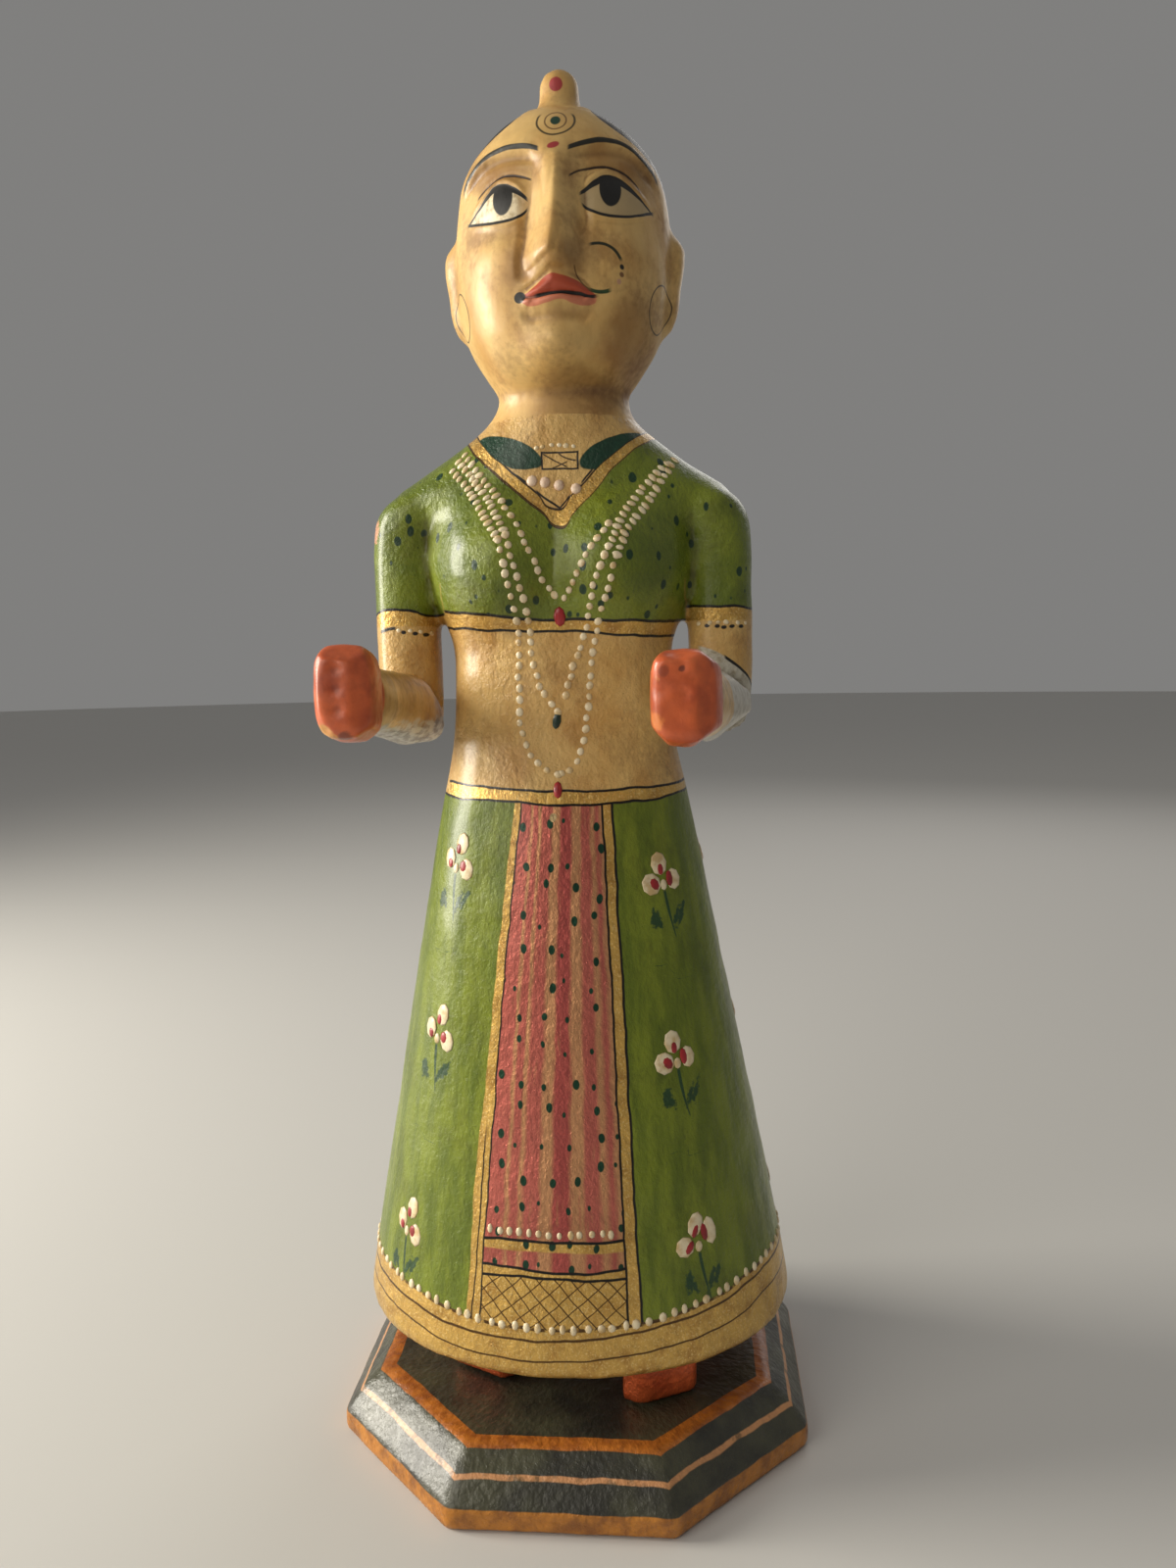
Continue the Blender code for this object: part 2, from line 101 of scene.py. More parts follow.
class Brushwork:
    """One painted surface, built up coat by coat: the ground first, then each mark laid over it."""

    def __init__(self, name, tremble=0.22):
        self.material = bpy.data.materials.new(name)
        self.material.use_nodes = True
        self.tree = self.material.node_tree
        self.shader = self.tree.nodes["Principled BSDF"]
        place = self.node("TexCoord").outputs["Object"]
        self.place = self.arrow("SCALE", place, scale=1 / MM)
        hand = self.node("TexNoise", {"Vector": self.place, "Scale": 0.17, "Detail": 2.0})
        shift = self.arrow("SUBTRACT", hand.outputs["Color"], (0.5, 0.5, 0.5))
        shift = self.arrow("SCALE", shift, scale=tremble * 4)
        self.drawn = self.arrow("ADD", self.place, shift)
        self.x, self.y, self.z = self.parts(self.drawn)
        self.front = self.pair(self.x, self.z)
        self.colour = None
        self.metal = 0.0

    def feed(self, socket, value):
        if isinstance(value, bpy.types.NodeSocket):
            self.tree.links.new(value, socket)
        else:
            socket.default_value = value

    def node(self, kind, inputs=None, **settings):
        made = self.tree.nodes.new("ShaderNode" + kind)
        for name, value in settings.items():
            setattr(made, name, value)
        for name, value in (inputs or {}).items():
            self.feed(made.inputs[name], value)
        return made

    def sum(self, operation, *values):
        return self.node("Math", dict(enumerate(values)), operation=operation).outputs[0]

    def unsigned(self, value):
        return self.sum("ABSOLUTE", value)

    def less(self, value, other):
        return self.sum("SUBTRACT", value, other)

    def scaled(self, value, by, plus):
        return self.sum("MULTIPLY_ADD", value, by, plus)

    def arrow(self, operation, *values, scale=None):
        made = self.node("VectorMath", dict(enumerate(values)), operation=operation)
        if scale is not None:
            self.feed(made.inputs["Scale"], scale)
        return made.outputs["Value" if operation == "LENGTH" else "Vector"]

    def pair(self, across, up):
        return self.node("CombineXYZ", {0: across, 1: up}).outputs[0]

    def parts(self, place):
        return self.node("SeparateXYZ", {0: place}).outputs

    def inside(self, distance, soft=0.09):
        """1 where the distance to a painted edge is below zero, with the edge a little soft."""
        return self.ramp(distance, -soft, soft, 1.0, 0.0)

    def above(self, value, limit, soft=0.09):
        return self.inside(self.less(limit, value), soft)

    def below(self, value, limit, soft=0.09):
        return self.inside(self.less(value, limit), soft)

    def between(self, value, low, high, soft=0.09):
        return self.both(self.above(value, low, soft), self.below(value, high, soft))

    def near(self, value, middle, half, soft=0.09):
        """1 within half a line's width of its middle."""
        away = self.unsigned(self.less(value, middle))
        return self.below(away, half, soft)

    def both(self, *masks):
        return reduce(lambda result, mask: self.sum("MULTIPLY", result, mask), masks)

    def either(self, *masks):
        return reduce(lambda result, mask: self.sum("MAXIMUM", result, mask), masks)

    def outside_of(self, mask):
        return self.less(1.0, mask)

    def through(self, points, along=None):
        """The height of a smooth hand-drawn line through the points, at each place along."""
        along = self.x if along is None else along
        first, last = points[0][0], points[-1][0]
        low = min(height for _, height in points) - 1.0
        high = max(height for _, height in points) + 1.0
        run = self.scaled(along, 1 / (last - first), -first / (last - first))
        made = self.node("FloatCurve", {"Value": run})
        curve = made.mapping.curves[0]
        curve.points[0].location = (0.0, (points[0][1] - low) / (high - low))
        curve.points[1].location = (1.0, (points[-1][1] - low) / (high - low))
        for place, height in points[1:-1]:
            curve.points.new((place - first) / (last - first), (height - low) / (high - low))
        made.mapping.update()
        return self.scaled(made.outputs[0], high - low, low)

    def line(self, height, half, colour, *masks):
        """Lays a line along a height, half being its width to each side, where all the masks are 1."""
        self.lay(colour, self.near(self.z, height, half), *masks)

    def stroke(self, points, half, soft=0.09):
        """A brush line through the points, from the first to the last."""
        line = self.near(self.z, self.through(points), half, soft)
        return self.both(line, self.between(self.x, points[0][0], points[-1][0], 0.25))

    def oval(self, centre, half, tilt=0.0, on=None):
        """Distance outside an oval, below zero within it."""
        away = self.arrow("SUBTRACT", self.front if on is None else on, (centre[0], centre[1], 0.0))
        if tilt:
            turned = {"Vector": away, "Angle": math.radians(tilt)}
            away = self.node("VectorRotate", turned, rotation_type="Z_AXIS").outputs[0]
        size = self.arrow("LENGTH", self.arrow("MULTIPLY", away, (1 / half[0], 1 / half[1], 0.0)))
        return self.scaled(size, min(half), -min(half))

    def dab(self, centre, half, tilt=0.0, soft=0.09, on=None):
        return self.inside(self.oval(centre, half, tilt, on), soft)

    def cloud(self, scale, detail=3.0, place=None, stretch=None, roughness=0.55):
        """Even noise from 0 to 1; the scale is in marks per mm."""
        place = self.place if place is None else place
        if stretch is not None:
            place = self.arrow("MULTIPLY", place, stretch)
        sockets = {"Vector": place, "Scale": scale, "Detail": detail, "Roughness": roughness}
        return self.node("TexNoise", sockets).outputs[0]

    def ramp(self, value, low, high, to_low=0.0, to_high=1.0):
        sockets = {"Value": value, "From Min": low, "From Max": high, "To Min": to_low, "To Max": to_high}
        return self.node("MapRange", sockets, interpolation_type="SMOOTHSTEP").outputs[0]

    def blend(self, mask, under, over):
        made = self.node("Mix", {0: mask, 6: under, 7: over}, data_type="RGBA")
        return made.outputs[2]

    def patches(self, noise, low, high, colour, other, most=1.0):
        """A colour with patches of another where the noise is high."""
        return self.blend(self.ramp(noise, low, high, 0.0, most), colour, other)

    def blot(self, place, reach, noise, ragged, soft):
        """1 in a ragged spot round a place on the doll."""
        away = self.arrow("LENGTH", self.arrow("SUBTRACT", self.drawn, place))
        return self.inside(self.scaled(noise, ragged, self.less(away, reach)), soft)

    def lay(self, colour, *masks):
        """Lays a colour over what is painted so far, where all the masks are 1."""
        self.colour = self.blend(self.both(*masks), self.colour, colour)

    def gild(self, mask):
        """Lays gold paint, browner where it has worn, with bright flecks and a metal gleam."""
        worn = self.ramp(self.cloud(0.3, 5.0), 0.42, 0.75, 0.0, 0.75)
        flecks = self.ramp(self.cloud(2.6, 2.0), 0.52, 0.72, 0.0, 0.7)
        self.lay(self.blend(flecks, self.blend(worn, GOLD, GOLD_DEEP), GOLD_BRIGHT), mask)
        self.metal = self.sum("MAXIMUM", self.metal, self.sum("MULTIPLY", mask, 0.5))

    def stripes(self, place, stops):
        """Painted stripes side by side, each from its own start."""
        made = self.node("ValToRGB", {0: place})
        ramp = made.color_ramp
        for start, colour in stops[2:]:
            ramp.elements.new(start).color = colour
        ramp.elements[0].position, ramp.elements[0].color = stops[0]
        ramp.elements[1].position, ramp.elements[1].color = stops[1]
        for element, (start, colour) in zip(ramp.elements, stops):
            element.position, element.color = start, colour
        ramp.interpolation = "EASE"
        return made.outputs[0]

    def group(self, group, **inputs):
        made = self.node("Group", node_tree=group)
        for name, value in inputs.items():
            self.feed(made.inputs[name.replace("_", " ").capitalize()], value)
        return made.outputs

    def finish(self, roughness=(0.3, 0.5), grime=0.5, bump=0.35, depth=0.12, grain=(1.2, 1.2, 0.3),
               coat=0.25, veil=0.5):
        """The aged varnish over the paint, the brush marks in it, and its gloss."""
        aged = self.group(AGED_VARNISH, colour=self.colour, place=self.place, grime=grime,
                          dull=roughness[1], bright=roughness[0])
        marks = self.group(BRUSH_MARKS, place=self.place, stretch=grain)
        self.tree.links.new(aged["Colour"], self.shader.inputs["Base Color"])
        self.tree.links.new(aged["Roughness"], self.shader.inputs["Roughness"])
        self.feed(self.shader.inputs["Metallic"], self.metal)
        raised = self.node("Bump", {"Height": marks["Height"]})
        raised.inputs["Strength"].default_value = bump
        raised.inputs["Distance"].default_value = depth * MM
        self.tree.links.new(raised.outputs[0], self.shader.inputs["Normal"])
        self.shader.inputs["Specular IOR Level"].default_value = veil
        self.shader.inputs["Coat Weight"].default_value = coat
        self.shader.inputs["Coat Roughness"].default_value = 0.22
        return self.material


class Recipe(Brushwork):
    """A shared effect as a node group, with named inputs and outputs."""

    def __init__(self, name, inputs, outputs):
        self.tree = bpy.data.node_groups.new(name, "ShaderNodeTree")
        for label, kind, value in inputs:
            socket = self.tree.interface.new_socket(label, in_out="INPUT", socket_type="NodeSocket" + kind)
            if value is not None:
                socket.default_value = value
        for label, kind in outputs:
            self.tree.interface.new_socket(label, in_out="OUTPUT", socket_type="NodeSocket" + kind)
        self.given = self.tree.nodes.new("NodeGroupInput").outputs
        self.result = self.tree.nodes.new("NodeGroupOutput").inputs
        self.place = self.given["Place"]

    def give(self, **outputs):
        for name, value in outputs.items():
            self.feed(self.result[name.capitalize()], value)
        return self.tree


def aged_varnish_recipe():
    """Varnish that has gone brown in hollows and patches, and dull where it was handled."""
    inputs = [("Colour", "Color", None), ("Place", "Vector", None), ("Grime", "Float", 0.5),
              ("Dull", "Float", 0.5), ("Bright", "Float", 0.3)]
    recipe = Recipe("aged_varnish", inputs, [("Colour", "Color"), ("Roughness", "Float")])
    broad = recipe.cloud(0.09, 3.0)
    fine = recipe.cloud(0.9, 4.0)
    speck = recipe.cloud(2.6, 2.0)
    hollow = recipe.node("NewGeometry").outputs["Pointiness"]
    hollow = recipe.ramp(hollow, 0.498, 0.455)
    patch = recipe.ramp(recipe.scaled(fine, 0.5, broad), 0.74, 0.98)
    soot = recipe.ramp(speck, 0.66, 0.78)
    brown = recipe.scaled(hollow, 0.9, recipe.sum("MULTIPLY", patch, 0.45))
    brown = recipe.scaled(soot, 0.22, brown)
    brown = recipe.sum("MULTIPLY", brown, recipe.given["Grime"])
    stained = recipe.node("Mix", {0: brown, 6: recipe.given["Colour"], 7: paint(120, 78, 36)},
                          data_type="RGBA", blend_type="MULTIPLY", clamp_factor=True).outputs[2]
    tone = recipe.ramp(recipe.cloud(0.22, 3.0), 0.3, 0.7, 0.95, 1.05)
    stained = recipe.node("HueSaturation", {"Color": stained, "Value": tone}).outputs[0]
    gloss = recipe.scaled(fine, 0.6, recipe.sum("MULTIPLY", broad, 0.4))
    mixed = recipe.node("Mix", {0: recipe.ramp(gloss, 0.35, 0.65), 2: recipe.given["Bright"],
                                          3: recipe.given["Dull"]}, data_type="FLOAT")
    return recipe.give(colour=stained, roughness=mixed.outputs[0])


def brush_marks_recipe():
    """Height of brush strokes, small lumps of paint and dust under the varnish."""
    inputs = [("Place", "Vector", None), ("Stretch", "Vector", (1.0, 1.0, 1.0))]
    recipe = Recipe("brush_marks", inputs, [("Height", "Float")])
    stroked = recipe.arrow("MULTIPLY", recipe.place, recipe.given["Stretch"])
    strokes = recipe.cloud(1.1, 4.0, place=stroked)
    lumps = recipe.cloud(0.5, 3.0)
    grit = recipe.ramp(recipe.cloud(2.2, 1.0), 0.62, 0.8)
    height = recipe.scaled(lumps, 0.9, recipe.sum("MULTIPLY", strokes, 0.55))
    return recipe.give(height=recipe.scaled(grit, 0.15, height))


def worn_edge_recipe():
    """Mask of edges rubbed through to the wood, broken up by chance."""
    inputs = [("Place", "Vector", None), ("Amount", "Float", 0.5)]
    recipe = Recipe("worn_edge", inputs, [("Mask", "Float")])
    edge = recipe.node("NewGeometry").outputs["Pointiness"]
    edge = recipe.ramp(edge, 0.52, 0.6)
    chance = recipe.cloud(0.45, 4.0)
    rubbed = recipe.sum("MULTIPLY", edge, recipe.ramp(chance, 0.45, 0.62))
    return recipe.give(mask=recipe.sum("MULTIPLY", rubbed, recipe.given["Amount"]))


AGED_VARNISH = aged_varnish_recipe()
BRUSH_MARKS = brush_marks_recipe()
WORN_EDGE = worn_edge_recipe()


def skin_ground(work):
    """The ochre skin paint, lighter and deeper in brushed patches."""
    work.colour = work.patches(work.cloud(0.14, 4.0, stretch=(1.0, 1.0, 0.6)), 0.38, 0.68, SKIN, SKIN_DEEP)


def leaf_green(work, shade):
    return work.patches(shade, 0.35, 0.65, LEAF_GREEN, LEAF_GREEN_DEEP)


def chalky(work):
    return work.patches(work.cloud(0.7, 4.0), 0.42, 0.75, CHALK, CHALK_DEEP)


# heights of the painted bands at the middle of the front
WAIST_TOP = [(-24, 122.4), (-16, 122.2), (-7.6, 121.7), (0, 121.5), (8.1, 121.4), (14.9, 121.6), (24, 122)]
WAIST_LOW = [(-24, 120.6), (-20.2, 119.7), (-12.2, 119.7), (-2.3, 119.1), (2.9, 119), (8.1, 119.2),
             (15.6, 119.3), (20.2, 120), (24, 120.4)]
BLOUSE_LOW = [(-24, 151), (-19, 150.6), (-12.5, 150), (-7, 149.7), (0, 149.6), (5, 149.3), (11.8, 148.7),
              (16, 148.6), (24, 148.9)]
BLOUSE_TOP = [(-24, 154), (-19, 153.4), (-13.2, 152.8), (-7, 151.8), (-1.8, 151.6), (5, 151.5), (11.9, 151.3),
              (17, 151.2), (24, 151.8)]
SLEEVE_LOW = [(-36, 153.6), (-34.9, 153.9), (-32.4, 154.3), (-30.1, 154.1), (-27.5, 153.8), (-25.7, 153.2),
              (-24, 153.2), (23, 153.9), (27.5, 153.8), (31.1, 153.7), (33.1, 153.4), (36, 153.2)]
COLLAR_OUT = [(-18.5, 185.6), (-14.2, 180.2), (-8.2, 174.8), (-2.7, 170.2), (0.9, 167.5), (2.6, 169.6),
              (5.2, 172.4), (10.4, 178.6), (18, 185.2)]
COLLAR_IN = [(-18.5, 188.5), (-14.9, 184.4), (-12, 180.9), (-8.9, 178.3), (-4.1, 174), (0.3, 170.7),
             (2.1, 172.9), (4.7, 175.6), (8.4, 179.4), (18, 187.6)]
ELBOW_ARC = [(23, 147), (28, 145.4), (30.2, 144.1), (31.4, 143.2), (32.9, 141.7), (34.1, 139.7), (36.5, 133)]
# how far out the arms start, and heights and places of the smaller marks on the bodice
ARM_X = 22.2
ARMPIT_Z = 158.0
NAPE_Z = 186.6
SLEEVE_BAND_LOW = 151.2
CLASP = (0.25, 179.5)
CLASP_HALF = (3.2, 1.5)
CHIP = (-34.3, -3.5, 168.6)
CHIP_REACH = 3.4


# lines of the face, as places across and heights
LEFT_UPPER_LID = [(-15, 219.9), (-12.5, 221.9), (-10.8, 223.6), (-9.4, 224.6), (-7.8, 224.5), (-6.6, 223.9),
                  (-5.3, 223), (-3.8, 221.5)]
LEFT_LOWER_LID = [(-15, 219.9), (-11.9, 218.6), (-9.1, 218), (-7.1, 218), (-5.3, 218.5), (-3.8, 219.6)]
RIGHT_UPPER_LID = [(5.1, 221.8), (6.3, 223.1), (7.7, 224.3), (9.3, 225.2), (10.9, 225.2), (12.6, 224.5),
                   (14.2, 223.3), (15.9, 221.8), (17, 220.9)]
RIGHT_LOWER_LID = [(5.4, 219.8), (6.7, 219), (8.6, 218.4), (10.5, 218.3), (12.6, 218.6), (14.7, 219.5),
                   (17, 221)]
LEFT_CREASE = [(-12.9, 223.4), (-11.4, 224.6), (-9.7, 225.4), (-7.9, 225.9), (-6.1, 225.7), (-3.1, 224.5)]
RIGHT_CREASE = [(3.5, 224.1), (6.1, 225.9), (7.9, 226.5), (9.4, 226.7), (11, 226.5), (12.6, 226),
                (13.9, 225.1), (14.9, 223.6)]
LEFT_BROW = [(-16.2, 226.2), (-15.3, 227.6), (-14.1, 228.4), (-12.8, 229.3), (-11, 230.1), (-8.4, 230.5),
             (-5.9, 230.4), (-3.7, 230), (-1.8, 229.2)]
RIGHT_BROW = [(3.3, 228.9), (5, 229.8), (7, 230.6), (8.6, 231), (10.3, 231.2), (11.9, 231.2), (13.5, 230.7),
              (14.9, 229.8), (16, 229), (17, 228.2), (17.8, 227)]
LIPS_TOP = [(-5.6, 205.2), (-4.4, 205.5), (-2.4, 206.6), (0.4, 208.1), (2, 207.9), (4, 207.4), (5.7, 206.5),
            (7.6, 205.1)]
LIPS_PARTING = [(-5.6, 205.1), (-4, 204.9), (-2, 205), (0, 205.2), (2.4, 205.3), (4.9, 205.2), (6.5, 204.9),
                (7.8, 205.1)]
LIPS_LOW = [(-5.6, 204.9), (-4.8, 204.1), (-3.1, 203.4), (-0.5, 203.7), (1.9, 204.1), (3.7, 203.6),
            (5.6, 203.4), (7.8, 205)]
# brown varnish in the hollows of the face, and painted shade under the nose, the lips and the chin and on the
# right of the nose and jaw: place, half sizes and tilt of each patch
STAINS_AND_SHADE = [((-8.5, 227.4), (6.5, 2.6), 0), ((10.5, 228), (6.5, 2.8), 0), ((-6.2, 209.6), (1.5, 3.6), 12),
          ((4.6, 211), (3.5, 3.0), 0), ((1.5, 202.0), (4.2, 1.4), 0), ((-10, 216.2), (5, 1.4), 0),
          ((0.4, 209.8), (3.6, 1.1), 0), ((-3.9, 208.4), (2.4, 1.1), -15), ((-12, 227), (3.5, 3), 30),
          ((14.5, 226), (3.5, 3.5), -30), ((-2.2, 225.5), (1.2, 3), 0), ((3.4, 225), (1.3, 4), 0),
          ((4, 190.5), (8, 4.5), 0), ((13, 200), (4, 8), 20)]
# the front edge of the hair, as heights and how far back
HAIRLINE = [(195, 10), (205, 6), (214, 2), (221, 1), (224.5, -1), (227, -3), (229.5, -5.6), (231.5, -8.6),
            (233.5, -10.5), (235.5, -11.1), (237, -10.4), (238.5, -8.4), (240, -5.8), (241.5, -3),
            (243.5, -1.8), (248.5, -1.2)]
# the foot of the hair, the ears, the nose ring, and the marks on the brow, the knob and the cheeks
HAIR_LOW = 197.0
EAR_X = 19.7
EAR_Z = (202.0, 221.0)
RING = (8.1, 209.6)
RING_RADIUS = 3.9
JEWEL = (1.0, 234.4)
KNOB_DOT = (0.3, 244.2)
EARRING = (-6.2, 205.7)


def eye(work, side, upper, lower, pupil, thick, corner, white):
    """An almond eye: cream white, black pupil under a thick upper lid line, a thin line below."""
    top = work.through(upper)
    bottom = work.through(lower)
    reach = work.between(work.x, upper[0][0], upper[-1][0], 0.3)
    opening = work.both(reach, work.below(work.z, top), work.above(work.z, bottom))
    fade = work.ramp(work.x, corner, corner + side * 3.0)
    mottled = work.patches(work.cloud(0.9, 4.0), 0.42, 0.7, white, DULL_CREAM, 0.8)
    work.lay(mottled, opening, fade)
    work.lay(INK, work.dab(*pupil), opening)
    away = work.less(work.x, pupil[0][0])
    away = work.sum("MULTIPLY", away, away)
    width = work.sum("MAXIMUM", work.scaled(away, -0.034, thick), 0.44)
    lid = work.above(work.z, work.less(top, width))
    work.lay(INK, reach, work.below(work.z, top), lid)
    line = work.near(work.z, bottom, 0.27)
    work.lay(INK, line, work.between(work.x, lower[0][0], lower[-1][0], 0.3))


def face_paint():
    """Head and neck: skin, brows, eyes, mouth, nose ring, earrings and hair."""
    work = Brushwork("head_paint", tremble=0.1)
    skin_ground(work)
    ahead = work.below(work.y, 0.0, 1.0)
    # brown varnish in the hollows, and painted shade under the nose, lips and chin and on the shaded right of
    # the nose and jaw
    rough = work.cloud(0.5, 4.0)
    for centre, half, tilt in STAINS_AND_SHADE:
        blot = work.scaled(rough, 3.2, work.oval(centre, half, tilt))
        blot = work.both(work.inside(work.less(blot, 1.3), 1.5), ahead)
        work.lay(PATINA_AND_SHADE, blot, 0.5)
    # eyes: the right one's white is painted in duller cream, as painted shade on the shaded side of the face
    eye(work, -1, LEFT_UPPER_LID, LEFT_LOWER_LID, ((-8.1, 222.1), (1.75, 3.1)), 1.3, -3.2, CREAM)
    eye(work, 1, RIGHT_UPPER_LID, RIGHT_LOWER_LID, ((10.05, 222.8), (1.8, 3.0)), 1.4, 3.4, DULL_CREAM)
    # brows and creases of the lids
    for line in (LEFT_BROW, RIGHT_BROW):
        work.lay(paint(40, 38, 28), work.stroke(line, 0.44))
    for line in (LEFT_CREASE, RIGHT_CREASE):
        work.lay(paint(70, 50, 26), work.stroke(line, 0.21))
    # mouth
    lips_top = work.through(LIPS_TOP)
    parting = work.through(LIPS_PARTING)
    lips_low = work.through(LIPS_LOW)
    across = work.both(work.between(work.x, -5.4, 7.6, 0.3), ahead)
    work.lay(LIP_RED, across, work.below(work.z, lips_top), work.above(work.z, parting))
    work.lay(LIP_PINK, across, work.below(work.z, parting), work.above(work.z, lips_low))
    work.line(parting, 0.26, INK, work.between(work.x, -2.6, 7.6, 0.6), ahead)
    work.lay(INK, work.dab((-5.3, 205.1), (1.0, 0.9)), ahead)
    # nose ring
    from_ring = work.arrow("SUBTRACT", work.front, (*RING, 0.0))
    out = work.arrow("LENGTH", from_ring)
    dx, dz, _ = work.parts(from_ring)
    turn = work.sum("ARCTAN2", dz, dx)
    arcs = [(0.38, 1.95, 0.26, paint(46, 48, 26)), (-2.0, -1.1, 0.3, paint(40, 66, 36)),
            (-3.14, -1.9, 0.12, paint(110, 78, 36))]
    for start, stop, half, colour in arcs:
        work.lay(colour, work.near(out, RING_RADIUS, half), work.between(turn, start, stop, 0.12), ahead)
    for turned, colour in ((0.1, INK), (-0.22, paint(120, 84, 50)), (-0.55, paint(196, 150, 120))):
        centre = (RING[0] + 3.8 * math.cos(turned), RING[1] + 3.8 * math.sin(turned))
        work.lay(colour, work.dab(centre, (0.36, 0.42)), ahead)
    # marks on the brow and the knob
    red_mark = paint(164, 58, 58)
    work.lay(red_mark, work.dab((0.8, 229.4), (1.05, 0.6), -12))
    rim = work.unsigned(work.oval(JEWEL, (3.2, 3.0)))
    work.lay(paint(78, 66, 38), work.below(rim, 0.17), work.below(work.z, 236.0, 0.4), ahead)
    rim = work.unsigned(work.oval(JEWEL, (1.8, 1.9)))
    work.lay(paint(118, 88, 50), work.below(rim, 0.13), ahead)
    work.lay(DARK_GREEN, work.dab(JEWEL, (0.85, 0.95)), ahead)
    work.lay(red_mark, work.dab(KNOB_DOT, (1.2, 1.25)), work.below(work.y, -5.0))
    # earrings on the cheeks, beside the ears
    side = work.pair(work.y, work.z)
    hoop = work.unsigned(work.oval(EARRING, (4.1, 4.0), on=side))
    wide = work.above(work.unsigned(work.x), 12.0)
    work.lay(paint(84, 68, 36), work.below(hoop, 0.13), wide)
    # hair on the crown and the back of the head
    hairline = work.through(HAIRLINE, work.z)
    leaning = work.scaled(work.x, 0.02, work.y)
    scalp = work.both(work.above(leaning, hairline, 0.12), work.above(work.z, HAIR_LOW, 0.5))
    aside = work.unsigned(work.less(work.x, 0.5))
    ear = work.both(work.above(aside, EAR_X, 0.2), work.between(work.z, *EAR_Z, 0.3))
    work.lay(HAIR, scalp, work.outside_of(ear))
    return work.finish(grime=0.75, roughness=(0.4, 0.56), bump=0.5, coat=0.12)


